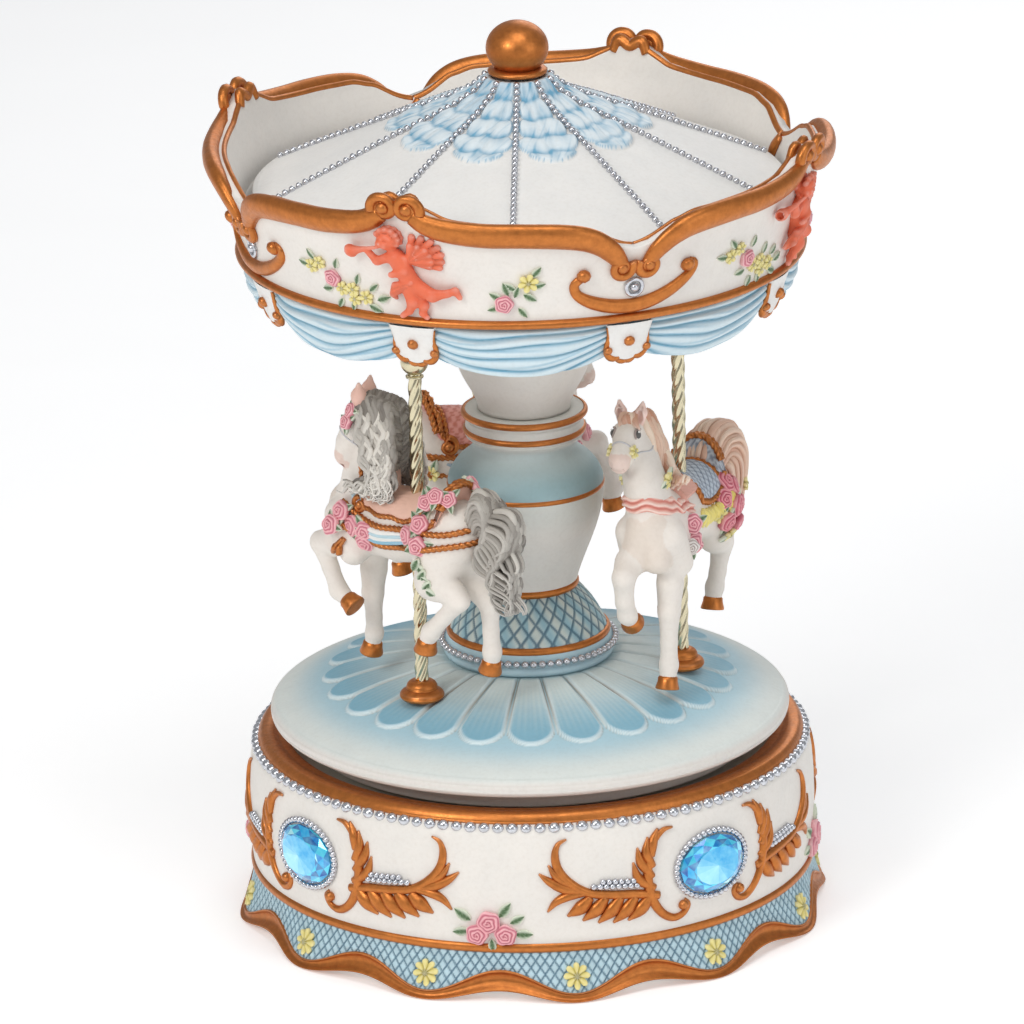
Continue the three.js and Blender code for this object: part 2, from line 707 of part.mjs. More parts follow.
// Poles and horses. A horse's own frame has its pole on the Z axis and faces +X, with
// its left side at +Y. Points are [x, y, z, radius], and heights are from the floor.
const TORSO = [[21, 0, 121, 10.4], [3, 0, 121.5, 10.6], [-14, 0, 122.5, 10.8]];
const HORSES = {
  left: {
    angle: -43,
    yaw: 0,
    neck: [[17, 0, 128, 9.5], [13, 0, 150, 7]],
    head: [[18, 0, 152, 5.2], [27, 0, 140.5, 3.2]],
    mane: [[9, 0, 152, 5], [6, 0, 136, 4.5]],
    tail: [[-20, 0, 129, 4], [-33, 0, 130, 4.5], [-35, 0, 108, 3.4]],
    legs: [
      [[24, 4.5, 117, 5], [37.5, 4.5, 109, 3], [31.5, 4.5, 97.5, 2.3], [24.5, 4.5, 95.5, 3.3]],
      [[19, -4.5, 115, 5], [18, -4.5, 98, 2.7], [18.8, -4.5, 87, 2.4], [19.4, -4.5, 82.5, 3.2]],
      [[-11, 4.5, 116, 7], [-17, 4.5, 104.5, 3.2], [-2, 4.5, 93, 2.5], [-1, 4.5, 88.5, 3.2]],
      [[-16, -4.5, 119, 7], [-25, -4.5, 105, 3.2], [-26, -4.5, 91, 2.4], [-26.8, -4.5, 87, 3.2]],
    ],
  },
  right: {
    angle: 77,
    yaw: -5,
    neck: [[18, 0, 127, 9.5], [16, -3, 146, 6.2]],
    head: [[19, -4, 148.5, 5], [29, -5.5, 142, 3.6]],
    mane: [[10, -1, 147, 3.5], [7, 0, 136, 3.5]],
    tail: [[-19, 0, 130, 4], [-29, 1, 131, 5], [-35, 2, 110, 4.4]],
    legs: [
      [[23, -5, 116, 5], [35.5, -6, 110, 3.2], [32.5, -5.5, 98, 2.4], [27.5, -4, 93.5, 3.3]],
      [[23, 4.5, 114, 5], [23.5, 4, 98, 2.7], [22.5, 3.8, 82, 2.4], [22, 3.8, 76.4, 3.3]],
      [[-11, -5, 116, 7], [-17, -5.5, 104.5, 3.2], [-2, -5.5, 94, 2.5], [-0.5, -5.5, 90.5, 3.2]],
      [[-16, 4.5, 118, 7], [-22.5, 4, 103, 3.2], [-22.5, 3.5, 88, 2.4], [-22.5, 3.5, 82.5, 3.3]],
    ],
  },
  back: {
    angle: 197,
    yaw: 0,
    neck: [[17, 0, 128, 9.5], [14, 0, 149, 6.6]],
    head: [[19, 0, 150.5, 5], [29, 0, 140.5, 3.3]],
    mane: [[9, 0, 150, 4.5], [6, 0, 136, 4.5]],
    tail: [[-20, 0, 129, 4], [-32, 0, 130, 4.5], [-34, 0, 108, 3.4]],
    legs: [
      [[22, -5, 118, 5], [34.5, -5, 116.5, 3.1], [40, -5, 103, 2.4], [36.8, -5, 97.5, 3.2]],
      [[20, 4.5, 115, 5], [20, 4.5, 99, 2.7], [20, 4.5, 88, 2.4], [20.5, 4.5, 84, 3.2]],
      [[-11, -4.5, 116, 7], [-17, -4.5, 104.5, 3.2], [-2, -4.5, 94, 2.5], [-1, -4.5, 90, 3.2]],
      [[-16, 4.5, 119, 7], [-24.5, 4.5, 105, 3.2], [-25.5, 4.5, 92, 2.4], [-26, 4.5, 88, 3.2]],
    ],
  },
};

function chain(points, sides) {
  return points.slice(1).map((point, i) => limb(points[i], point, sides));
}

function horseBody({ neck, head, mane, tail, legs }) {
  const saddle = limb([5, 0, 130, 6], [-9, 0, 132, 6.4], 6);
  const parts = [...chain(TORSO, 8), ...chain(neck, 7), ...chain(head, 6), ...chain(mane, 5)];
  parts.push(saddle, ...chain(tail, 5), ...legs.flatMap((leg) => chain(leg, 5)));
  const bore = rod([0, 0, 75], [0, 0, 175], POLE_RADIUS + GAP, 12);
  return cut(join(...parts), bore);
}

const PLATFORM_AT_POLE = 71.5;
for (const [name, horse] of Object.entries(HORSES)) {
  const carrier = group(turntable);
  carrier.position.set(...polar(POLE_CIRCLE, horse.angle), 0);
  carrier.rotation.z = radians(horse.angle + 180 + horse.yaw);
  add(carrier, "horse_" + name, horseBody(horse), "cream");
  const pole = rod([0, 0, PLATFORM_AT_POLE + 0.8], [0, 0, POLE_TOP], POLE_RADIUS, 12);
  add(carrier, "pole_" + name, pole, "brass");
  const bore = POLE_RADIUS + GAP;
  const collar = [
    [bore, PLATFORM_AT_POLE + 0.5],
    [COLLAR_RADIUS - 0.6, PLATFORM_AT_POLE + 0.5],
    [COLLAR_RADIUS, 73.2],
    [4.4, 74.8],
    [3.6, 76],
    [bore, 76.2],
  ];
  add(carrier, "pole_collar_" + name, ring(collar, 14), "copper");
  const cap = [
    [bore, POLE_CAP_HEIGHT - 3.1],
    [2.8, POLE_CAP_HEIGHT - 2.5],
    [POLE_CAP_RADIUS, POLE_CAP_HEIGHT],
    [2.8, POLE_CAP_HEIGHT + 2.5],
    [bore, POLE_CAP_HEIGHT + 3.1],
  ];
  add(carrier, "pole_cap_" + name, ring(cap, 12), "brass");
}

// Pinned cylinder with its arbor, pinion and gear, on an axis along +X
const cylinder = group();

function pinCylinder() {
  const end = CYLINDER_START + CYLINDER_LENGTH;
  const drum = rod([CYLINDER_START, 0, CYLINDER_AXIS_Z], [end, 0, CYLINDER_AXIS_Z], CYLINDER_RADIUS, 20);
  const bore = rod([CYLINDER_START - 1, 0, CYLINDER_AXIS_Z], [end + 1, 0, CYLINDER_AXIS_Z], 1.5, 10);
  const pins = [];
  const pitch = CYLINDER_LENGTH / TUNE_TRACKS;
  const tune = [1, 5, 9, 4, 11, 7, 2, 10, 6, 3, 8, 0, 5, 9, 2, 7, 11, 4]; // place of each track's pin
  tune.forEach((place, track) => {
    const x = CYLINDER_START + pitch * (track + 0.5);
    const pin = block(x - 0.2, x + 0.2, -0.2, 0.2, CYLINDER_RADIUS - 0.6, CYLINDER_RADIUS + PIN_LENGTH);
    pins.push(pin.rotateX((Math.PI * 2 * place) / 12).translate(0, 0, CYLINDER_AXIS_Z));
  });
  return cut(join(drum, ...pins), bore);
}

function cylinderArbor() {
  const shaft = rod([11.4, 0, CYLINDER_AXIS_Z], [44 - GAP, 0, CYLINDER_AXIS_Z], 1.2, 10);
  const outline = gearOutline(PINION_TEETH, 2.35, 4.05, 0.42, 0.2);
  const pinion = gearAlongX(outline, 12.6, 1.9, 0, CYLINDER_AXIS_Z, Math.PI);
  return join(shaft, pinion);
}

const MESH_ROOT = 0.9;
const MESH_TIP = 0.75;

function spurOutline(teeth) {
  const radius = (GEAR_MODULE * teeth) / 2;
  return gearOutline(teeth, radius - MESH_ROOT, radius + MESH_TIP * GEAR_MODULE, 0.5, 0.22);
}

add(cylinder, "pin_cylinder", pinCylinder(), "brass");
add(cylinder, "cylinder_arbor", cylinderArbor(), "steel");
const cylinderGear = gearAlongX(
  spurOutline(CYLINDER_GEAR_TEETH),
  GEAR_START,
  GEAR_WIDTH,
  0,
  CYLINDER_AXIS_Z,
  0,
);
const arborHole = rod([38, 0, CYLINDER_AXIS_Z], [42, 0, CYLINDER_AXIS_Z], 1.5, 10);
add(cylinder, "cylinder_gear", cut(cylinderGear, arborHole), "brass");

// Idler: a pinion and a worm wheel on one shaft
const idler = group();

function idlerGear() {
  const shaft = rod([36.8, IDLER_Y, CYLINDER_AXIS_Z], [49.4, IDLER_Y, CYLINDER_AXIS_Z], 0.9, 10);
  const pinion = gearAlongX(
    spurOutline(IDLER_TEETH),
    GEAR_START,
    GEAR_WIDTH,
    IDLER_Y,
    CYLINDER_AXIS_Z,
    Math.PI / 2,
  );
  const wheelOutline = gearOutline(WORM_WHEEL_TEETH, WHEEL_RADIUS - 1, WHEEL_RADIUS + 0.4, 0.42, 0.16);
  const wheel = gearAlongX(wheelOutline, WHEEL_START, WHEEL_WIDTH, IDLER_Y, CYLINDER_AXIS_Z, 0);
  return join(shaft, pinion, wheel);
}
add(idler, "idler_gear", idlerGear(), "brass");

// Fly: the worm and the air-brake vanes, on a shaft along +Z
const fly = group();

// The worm is a two-lobed section twisted along its length.
function worm() {
  const lead = Math.PI * GEAR_MODULE * WORM_STARTS;
  const length = 7.2;
  const [core, crest, lobe] = [1.15, WORM_RADIUS + 0.45, 0.42];
  const outline = [];
  for (let start = 0; start < WORM_STARTS; start++) {
    const middle = (Math.PI * 2 * start) / WORM_STARTS;
    for (const [radius, offset] of [[core, -lobe * 1.6], [crest, -lobe], [crest, lobe], [core, lobe * 1.6]]) {
      outline.push([radius * Math.cos(middle + offset), radius * Math.sin(middle + offset)]);
    }
    const side = middle + Math.PI / 2;
    outline.push([core * Math.cos(side), core * Math.sin(side)]);
  }
  const thread = closed(extruded(outline, length, { steps: 16 }).translate(0, 0, -length / 2));
  const position = thread.getAttribute("position");
  const vertex = new THREE.Vector3();
  for (let i = 0; i < position.count; i++) {
    vertex.fromBufferAttribute(position, i);
    vertex.applyAxisAngle(UP, (Math.PI * 2 * vertex.z) / lead);
    position.setXYZ(i, vertex.x, vertex.y, vertex.z);
  }
  return thread.translate(FLY_X, FLY_Y, CYLINDER_AXIS_Z);
}

function governorFly() {
  const shaft = rod([FLY_X, FLY_Y, 26.4], [FLY_X, FLY_Y, 43.2], 0.6, 8);
  const vanes = block(FLY_X - 5.5, FLY_X + 5.5, FLY_Y - 0.25, FLY_Y + 0.25, 40.4, 43);
  const hub = rod([FLY_X, FLY_Y, 40.2], [FLY_X, FLY_Y, 43], 1.3, 8);
  return join(shaft, worm(), vanes, hub);
}
add(fly, "governor_fly", governorFly(), "brass");

// Winding key and arbor
const key = group();

function windingKey() {
  const wing = new THREE.Shape();
  wing.moveTo(0, 6.4);
  wing.lineTo(-2.6, 6.4);
  wing.bezierCurveTo(-5, 10.6, -14, 10.6, -14, 6);
  wing.bezierCurveTo(-14, 1.6, -6, 1.4, 0, 3.4);
  wing.bezierCurveTo(6, 1.4, 14, 1.6, 14, 6);
  wing.bezierCurveTo(14, 10.6, 5, 10.6, 2.6, 6.4);
  wing.closePath();
  const blade = new THREE.ExtrudeGeometry(wing, { depth: 2.2, bevelEnabled: false, curveSegments: 5 });
  const wings = closed(blade.translate(0, 0, -1.1).rotateX(Math.PI / 2).translate(0, 0, 0.4));
  const stem = turned([[0, 5], [3, 5], [3.6, 7.6], [3.6, 13.6], [0, 13.6]], 14);
  const eye = (side) => rod([side * 9, -3, 6.4], [side * 9, 3, 6.4], 1.8, 10);
  return cut(join(wings, stem), eye(-1), eye(1));
}

add(key, "winding_key", windingKey(), "brass");
add(
  key,
  "winding_arbor",
  turned([[0, 13.9], [KEY_SHAFT_RADIUS, 13.9], [KEY_SHAFT_RADIUS, 28.4], [0, 28.4]], 12),
  "steel",
);

export default musicBox;
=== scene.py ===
"""Wind-up carousel music box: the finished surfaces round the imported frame.

Lengths are in millimetres until a mesh is made, angles in degrees from the front (-Y) towards +X.
"""

import json
import math

import bpy
import numpy as np
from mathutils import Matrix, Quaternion, Vector


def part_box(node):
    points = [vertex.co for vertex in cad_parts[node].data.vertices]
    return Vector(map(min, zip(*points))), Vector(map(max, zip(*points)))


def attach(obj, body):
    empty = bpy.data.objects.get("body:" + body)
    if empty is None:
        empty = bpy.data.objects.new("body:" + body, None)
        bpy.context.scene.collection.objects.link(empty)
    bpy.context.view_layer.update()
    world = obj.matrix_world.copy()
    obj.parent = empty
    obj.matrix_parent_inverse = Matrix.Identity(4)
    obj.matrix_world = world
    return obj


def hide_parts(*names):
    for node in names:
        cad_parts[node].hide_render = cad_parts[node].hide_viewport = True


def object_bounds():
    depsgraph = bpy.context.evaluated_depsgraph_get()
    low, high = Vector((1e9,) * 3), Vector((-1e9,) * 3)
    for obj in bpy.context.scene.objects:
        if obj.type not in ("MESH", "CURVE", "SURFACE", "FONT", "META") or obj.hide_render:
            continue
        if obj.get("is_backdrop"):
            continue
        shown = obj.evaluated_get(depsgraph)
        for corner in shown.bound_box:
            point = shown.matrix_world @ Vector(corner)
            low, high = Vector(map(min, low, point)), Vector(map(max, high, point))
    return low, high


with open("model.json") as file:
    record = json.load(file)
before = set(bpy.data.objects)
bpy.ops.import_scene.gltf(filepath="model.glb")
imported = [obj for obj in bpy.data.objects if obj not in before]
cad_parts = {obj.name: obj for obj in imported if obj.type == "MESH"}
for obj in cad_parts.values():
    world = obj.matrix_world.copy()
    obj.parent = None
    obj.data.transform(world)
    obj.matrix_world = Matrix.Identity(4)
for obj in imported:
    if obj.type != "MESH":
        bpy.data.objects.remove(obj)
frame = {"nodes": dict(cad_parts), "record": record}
CAD_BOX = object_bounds()
MM = 0.001


def box_mm(node):
    """The lowest and highest corner of a CAD node, in millimetres."""
    low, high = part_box(node)
    return np.array(low) / MM, np.array(high) / MM


def srgb(red, green, blue):
    """A display colour, each part from 0 to 255, as linear light."""
    part = np.array([red, green, blue]) / 255
    return np.where(part <= 0.04045, part / 12.92, ((part + 0.055) / 1.055) ** 2.4)


CREAM = srgb(236, 231, 224)
WHITE = srgb(240, 238, 234)
PALE_BLUE = srgb(186, 214, 224)
MID_BLUE = srgb(140, 190, 212)
LATTICE_LINE = srgb(74, 112, 134)
GROOVE_SHADE = srgb(150, 128, 104)
COPPER = srgb(205, 126, 62)
COPPER_DARK = srgb(120, 62, 26)
SILVER = srgb(214, 216, 222)
BRASS_COLOUR = srgb(204, 188, 152)
CORAL = srgb(232, 112, 76)
PINK = srgb(238, 134, 154)
PALE_PINK = srgb(246, 186, 190)
YELLOW = srgb(240, 222, 112)
GREEN = srgb(84, 122, 74)
BLACK = srgb(26, 24, 26)


# Mesh making


def mixed(first, second, share):
    """Colours or points between first and second, by a share for each row."""
    share = np.clip(np.asarray(share, float), 0, 1)[..., None]
    return np.asarray(first) * (1 - share) + np.asarray(second) * share


def unit_rows(rows):
    return rows / (np.linalg.norm(rows, axis=1, keepdims=True) + 1e-9)


def smooth_step(low, high, value):
    share = np.clip((np.asarray(value, float) - low) / (high - low), 0, 1)
    return share * share * (3 - 2 * share)


class Clay:
    """Points, faces and paint collected for one piece."""

    def __init__(self):
        self.points, self.faces, self.paint, self.count = [], [], [], 0

    def add(self, points, faces, paint):
        points, paint = np.asarray(points, float).reshape(-1, 3), np.asarray(paint, float)
        self.points.append(points)
        self.paint.append(np.broadcast_to(paint if paint.ndim == 1 else paint.reshape(-1, 3), points.shape))
        self.faces += [np.asarray(f, int) + self.count for f in faces if len(f)]
        self.count += len(points)

    def take(self, part, move):
        """Adds what another Clay holds, moved."""
        self.add(move(np.concatenate(part.points)), part.faces, np.concatenate(part.paint))


def hollows(mesh, points):
    """The curvature at each point in 1/mm, positive in a hollow and negative on a ridge."""
    edges = np.zeros(len(mesh.edges) * 2, np.int32)
    mesh.edges.foreach_get("vertices", edges)
    edges = edges.reshape(-1, 2)
    normals = np.zeros(len(points) * 3, np.float32)
    mesh.vertices.foreach_get("normal", normals)
    normals = normals.reshape(-1, 3)
    span = points[edges[:, 1]] - points[edges[:, 0]]
    square = np.einsum("ij,ij->i", span, span) + 1e-4
    ends = np.concatenate([edges[:, 0], edges[:, 1]])
    others = np.concatenate([edges[:, 1], edges[:, 0]])
    bend = 2 * np.concatenate(
        [
            np.einsum("ij,ij->i", span, normals[edges[:, 0]]) / square,
            -np.einsum("ij,ij->i", span, normals[edges[:, 1]]) / square,
        ]
    )
    count = np.maximum(np.bincount(ends, minlength=len(points)), 1)
    value = np.clip(np.bincount(ends, bend, len(points)) / count, -4, 4)
    for _ in range(2):
        value = 0.5 * value + 0.5 * np.bincount(ends, value[others], len(points)) / count
    return value


def make(name, clay, material, body, slot, stands_for=(), smooth=True):
    """One visible piece that rides on a body and takes the given material."""
    points = np.concatenate(clay.points)
    paint = np.concatenate(clay.paint)
    mesh = bpy.data.meshes.new(name)
    loops = np.concatenate([f.ravel() for f in clay.faces])
    sides = np.concatenate([np.full(len(f), f.shape[1]) for f in clay.faces])
    mesh.vertices.add(len(points))
    mesh.vertices.foreach_set("co", (points * MM).ravel())
    mesh.loops.add(len(loops))
    mesh.loops.foreach_set("vertex_index", loops)
    mesh.polygons.add(len(sides))
    mesh.polygons.foreach_set("loop_start", np.concatenate([[0], np.cumsum(sides)[:-1]]))
    mesh.update(calc_edges=True)
    colour = mesh.color_attributes.new("paint", "FLOAT_COLOR", "POINT")
    colour.data.foreach_set("color", np.hstack([paint, np.ones((len(paint), 1))]).ravel())
    # Curvature, from which the materials paint shade in the hollows and highlights on the ridges.
    shading_curvature = mesh.attributes.new("hollow", "FLOAT", "POINT")
    shading_curvature.data.foreach_set("value", hollows(mesh, points))
    mesh.polygons.foreach_set("use_smooth", np.full(len(sides), smooth))
    mesh.materials.append(material)
    piece = bpy.data.objects.new(name, mesh)
    bpy.context.scene.collection.objects.link(piece)
    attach(piece, body)
    if stands_for:
        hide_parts(*stands_for)
    return piece


def grid_faces(rows, columns, around=False, over=False):
    """Quads over a rows x columns grid of points, optionally closed round the rows or the columns."""
    i = np.arange(rows if over else rows - 1)[:, None]
    j = np.arange(columns if around else columns - 1)[None, :]
    a = i * columns + j
    b = i * columns + (j + 1) % columns
    c = (i + 1) % rows * columns + (j + 1) % columns
    d = (i + 1) % rows * columns + j
    return np.stack([a, b, c, d], -1).reshape(-1, 4)


def polar(angle, radius, z):
    """Points at an angle from the front, a radius and a height."""
    angle, radius, z = np.broadcast_arrays(np.radians(angle), radius, z)
    return np.stack([radius * np.sin(angle), -radius * np.cos(angle), z], -1)


def band_grid(rows, columns):
    """Shares up a band, one to a row, and angles round the axis, one to a column."""
    return np.linspace(0, 1, rows)[:, None], np.linspace(0, 360, columns, endpoint=False)[None, :]


def band(clay, rings, paint):
    """A closed band round the axis, through grids of points stacked outside to inside."""
    points = np.concatenate(rings)
    clay.add(points, [grid_faces(*points.shape[:2], around=True, over=True)], paint)


def slab(clay, move, front, back, paint, back_paint=None):
    """A thin solid between two facing grids of points."""
    loop = np.concatenate([front, back[:, ::-1]], 1)
    if back_paint is not None:
        paint = np.concatenate([paint, back_paint], 1)
    clay.add(move(loop.reshape(-1, 3)), [grid_faces(*loop.shape[:2], around=True)], paint)


def along(outline, step):
    """Points about a step apart along a polyline, its corners kept."""
    outline = np.asarray(outline, float)
    made = [outline[:1]]
    for a, b in zip(outline[:-1], outline[1:]):
        count = max(1, int(math.ceil(np.linalg.norm(b - a) / step)))
        made.append(a + (b - a) * (np.arange(1, count + 1) / count)[:, None])
    return np.concatenate(made)


def rounded(corners, radius=0.6, steps=3):
    """An outline whose inner corners are rounded off with short curves."""
    corners = np.asarray(corners, float)
    made = [corners[0]]
    for before, corner, after in zip(corners[:-2], corners[1:-1], corners[2:]):
        reach = [min(radius, np.linalg.norm(p - corner) / 2) for p in (before, after)]
        ways = [(p - corner) / (np.linalg.norm(p - corner) + 1e-9) for p in (before, after)]
        ends = [corner + way * r for way, r in zip(ways, reach)]
        for t in np.linspace(0, 1, steps):
            made.append((1 - t) ** 2 * ends[0] + 2 * t * (1 - t) * corner + t * t * ends[1])
    return np.array(made + [corners[-1]])


def curve(points, count):
    """A smooth Catmull-Rom curve through points of any width, evenly spread."""
    points = np.asarray(points, float)
    ends = np.vstack([2 * points[0] - points[1], points, 2 * points[-1] - points[-2]])
    t = np.linspace(0, len(points) - 1, count * 4)
    i = np.minimum(t.astype(int), len(points) - 2)
    t = (t - i)[:, None]
    a, b, c, d = (ends[i + k] for k in range(4))
    dense = 0.5 * (
        2 * b + (c - a) * t + (2 * a - 5 * b + 4 * c - d) * t**2 + (3 * b - a - 3 * c + d) * t**3
    )
    run = np.concatenate([[0], np.cumsum(np.linalg.norm(np.diff(dense[:, :3], axis=0), axis=1))])
    even = np.linspace(0, run[-1], count)
    return np.stack([np.interp(even, run, dense[:, k]) for k in range(dense.shape[1])], -1)


def revolve(clay, outline, paint, columns=240, shape=None, over=True):
    """An outline of (radius, z), up the outside and down the inside, turned about the axis."""
    outline = np.asarray(outline, float)
    angle = np.repeat(band_grid(1, columns)[1], len(outline), 0)
    radius, z = (np.repeat(outline[:, k:k + 1], columns, 1) for k in (0, 1))
    if shape:
        radius, z = shape(angle, radius, z)
    points = polar(angle, radius, z)
    colours = paint(angle, radius, z) if callable(paint) else np.broadcast_to(paint, points.shape)
    clay.add(points, [grid_faces(len(outline), columns, around=True, over=over)], colours)


def sweep(clay, path, radius, paint, sides=8, flat=1.0, up=None, ends=True, ridges=0, depth=0.0, twist=0.0):
    """A tube along path. radius may vary, flat squeezes it along the up direction, ridges groove it."""
    path = np.asarray(path, float)
    count = len(path)
    radius = np.broadcast_to(radius, (count,))
    tangent = unit_rows(np.gradient(path, axis=0))
    if up is None:
        side = np.cross(tangent[0], [0.31, 0.23, 0.92])
        frames = []
        for t in tangent:
            side = side - t * (side @ t)
            side /= np.linalg.norm(side) + 1e-9
            frames.append(side)
        side = np.array(frames)
    else:
        side = unit_rows(np.cross(np.asarray(up, float), tangent))
    lift = np.cross(tangent, side)
    wound = np.linspace(0, twist, count)[:, None]
    turn = np.linspace(0, 2 * np.pi, sides, endpoint=False)[None, :] + wound
    girth = radius[:, None] * (1 + depth * np.cos(ridges * (turn - wound)))
    across, high = np.cos(turn) * girth, np.sin(turn) * girth * flat
    points = path[:, None] + side[:, None] * across[..., None] + lift[:, None] * high[..., None]
    colours = np.asarray(paint, float)
    if colours.ndim == 2:
        colours = np.repeat(colours[:, None], sides, 1).reshape(-1, 3)
    faces = [grid_faces(count, sides, around=True)]
    points = points.reshape(-1, 3)
    if ends:
        points = np.vstack([points, path[:1], path[-1:]])
        if colours.ndim == 2:
            colours = np.vstack([colours, colours[:1], colours[-1:]])
        i = np.arange(sides)
        j = (i + 1) % sides
        last = (count - 1) * sides
        faces.append(np.stack([j, i, np.full(sides, count * sides)], -1))
        faces.append(np.stack([i + last, j + last, np.full(sides, count * sides + 1)], -1))
    clay.add(points, faces, colours)


def ball(clay, centre, radius, paint, rows=7, columns=10, stretch=(1, 1, 1)):
    """A sphere, or an ellipsoid where stretch says so."""
    down = np.linspace(0, np.pi, rows + 2)[1:-1, None]
    turn = np.linspace(0, 2 * np.pi, columns, endpoint=False)[None, :]
    sphere = np.stack([np.sin(down) * np.cos(turn), np.sin(down) * np.sin(turn), np.cos(down) + 0 * turn], -1)
    sphere = np.vstack([sphere.reshape(-1, 3), [[0, 0, 1], [0, 0, -1]]])
    i = np.arange(columns)
    j = (i + 1) % columns
    top, bottom, last = rows * columns, rows * columns + 1, (rows - 1) * columns
    faces = [
        grid_faces(rows, columns, around=True)[:, ::-1],
        np.stack([i, j, np.full(columns, top)], -1),
        np.stack([j + last, i + last, np.full(columns, bottom)], -1),
    ]
    clay.add(np.asarray(centre) + sphere * radius * np.asarray(stretch), faces, paint)


# Materials


class Shader:
    """A short way to write a node tree round one Principled shader."""

    def __init__(self, name):
        self.material = bpy.data.materials.new(name)
        self.material.use_nodes = True
        self.tree = self.material.node_tree
        self.surface = self.tree.nodes["Principled BSDF"]

    def node(self, kind, inputs=(), **settings):
        made = self.tree.nodes.new("ShaderNode" + kind)
        for key, value in settings.items():
            setattr(made, key, value)
        for key, value in dict(inputs).items():
            self.put(made.inputs[key], value)
        return made

    def put(self, socket, value):
        if isinstance(value, bpy.types.NodeSocket):
            self.tree.links.new(value, socket)
        elif hasattr(socket.default_value, "__len__") and len(value) != len(socket.default_value):
            socket.default_value = (*value, 1)
        else:
            socket.default_value = value

    def set(self, **inputs):
        for key, value in inputs.items():
            self.put(self.surface.inputs[key.replace("_", " ")], value)
        return self

    def place(self):
        return self.node("TexCoord").outputs["Object"]

    def noise(self, size_mm, detail=3.0, roughness=0.55, where=None):
        """Noise from 0 to 1 whose blotches are about size_mm across."""
        inputs = {
            "Vector": where or self.place(),
            "Scale": 1 / (size_mm * MM),
            "Detail": detail,
            "Roughness": roughness,
        }
        return self.node("TexNoise", inputs).outputs["Fac"]

    def span(self, value, low, high, to_low=0.0, to_high=1.0):
        inputs = {"Value": value, "From Min": low, "From Max": high, "To Min": to_low, "To Max": to_high}
        return self.node("MapRange", inputs).outputs["Result"]

    def blend(self, share, first, second, mode="MIX"):
        made = self.node("Mix", data_type="RGBA", blend_type=mode)
        self.put(made.inputs[0], share)
        self.put(made.inputs[6], first)
        self.put(made.inputs[7], second)
        return made.outputs[2]

    def bump(self, height, depth_mm, strength=1.0):
        inputs = {"Height": height, "Distance": depth_mm * MM, "Strength": strength}
        return self.set(Normal=self.node("Bump", inputs).outputs["Normal"])

    def paint(self):
        return self.node("Attribute", attribute_name="paint").outputs["Color"]

    def hollow(self):
        return self.node("Attribute", attribute_name="hollow").outputs["Fac"]


def resin(name, colour=None, wash_and_shade=(0.52, 0.44, 0.38), hollow_shade_share=0.55, roughness=0.5):
    """Hand-painted cast resin: brushed colour, painted brown shade in the hollows and painted highlights on
    the edges.
    """
    s = Shader(name)
    base = s.paint() if colour is None else s.blend(s.noise(6), colour * 0.95, colour)
    brushed = s.blend(s.span(s.noise(7, 4), 0.3, 0.7, 0.0, 0.16), base, (0.72, 0.76, 0.8), "MULTIPLY")
    grime_shade_and_highlight = s.blend(s.span(s.noise(1.1, 3), 0.45, 0.8, 0.0, 0.12), brushed, (0.6, 0.52, 0.44), "MULTIPLY")
    if colour is None:
        # Painted shade: a brown tint in the hollows. Painted highlight: paler edges.
        low = s.span(s.hollow(), 0.12, 1.6, 0.0, hollow_shade_share)
        grime_shade_and_highlight = s.blend(low, grime_shade_and_highlight, wash_and_shade, "MULTIPLY")
        edge = s.span(s.hollow(), -0.25, -2.2, 0.0, 0.35)
        grime_shade_and_highlight = s.blend(edge, grime_shade_and_highlight, (1.0, 0.97, 0.92))
    s.set(Base_Color=grime_shade_and_highlight, Roughness=s.span(s.noise(2.5), 0.3, 0.7, roughness - 0.07, roughness + 0.1))
    s.set(Specular_IOR_Level=0.42)
    s.bump(s.noise(0.5, 4, 0.6), 0.035, 0.6)
    return s.material


def gilt(name, bright=COPPER, dark=COPPER_DARK, roughness=0.36, metal=0.82, smallest=0.25):
    """Copper-gold paint with brush marks, painted shade in the hollows and painted highlights on the edges.
    """
    s = Shader(name)
    tone = s.blend(s.span(s.noise(2.2, 5, 0.65), 0.32, 0.72), bright, mixed(bright, dark, 0.38))
    # Painted shade in the hollows, and a painted highlight on the edges.
    low = s.span(s.hollow(), 0.1, 1.3, 0.0, 0.85)
    tone = s.blend(low, tone, dark)
    edge = s.span(s.hollow(), -0.4, -2.4, 0.0, 0.4)
    tone = s.blend(edge, tone, mixed(bright, (1, 0.9, 0.75), 0.35))
    s.set(Base_Color=tone, Metallic=metal)
    s.set(Roughness=s.span(s.noise(0.9, 4), 0.3, 0.7, roughness - 0.08, roughness + 0.14))
    s.bump(s.noise(smallest * 2, 5, 0.7), 0.05, 0.7)
    return s.material


def bright_metal(name, colour, roughness, streak=0.4):
    """Polished or brushed metal with faint scratches and darker patches."""
    s = Shader(name)
    tone = s.blend(s.span(s.noise(3.0, 4), 0.3, 0.75), colour, np.asarray(colour) * 0.82)
    s.set(Base_Color=tone, Metallic=1.0)
    s.set(Roughness=s.span(s.noise(streak, 3), 0.3, 0.7, roughness * 0.75, roughness * 1.35))
    s.bump(s.noise(streak, 4, 0.7), 0.01, 0.5)
    return s.material


def beads(name):
    """Plated beads: bright caps with painted shade in the hollows between them."""
    s = Shader(name)
    tone = s.blend(s.span(s.noise(1.4, 3), 0.35, 0.7), SILVER, SILVER * 0.78)
    # Painted shade in the hollows where the beads meet.
    low = s.span(s.hollow(), 0.0, 1.5, 0.0, 0.6)
    s.set(Base_Color=s.blend(low, tone, srgb(120, 122, 132)), Metallic=0.88)
    s.set(Roughness=s.span(s.noise(0.8), 0.3, 0.7, 0.14, 0.28))
    s.bump(s.noise(0.6, 3), 0.02, 0.4)
    return s.material


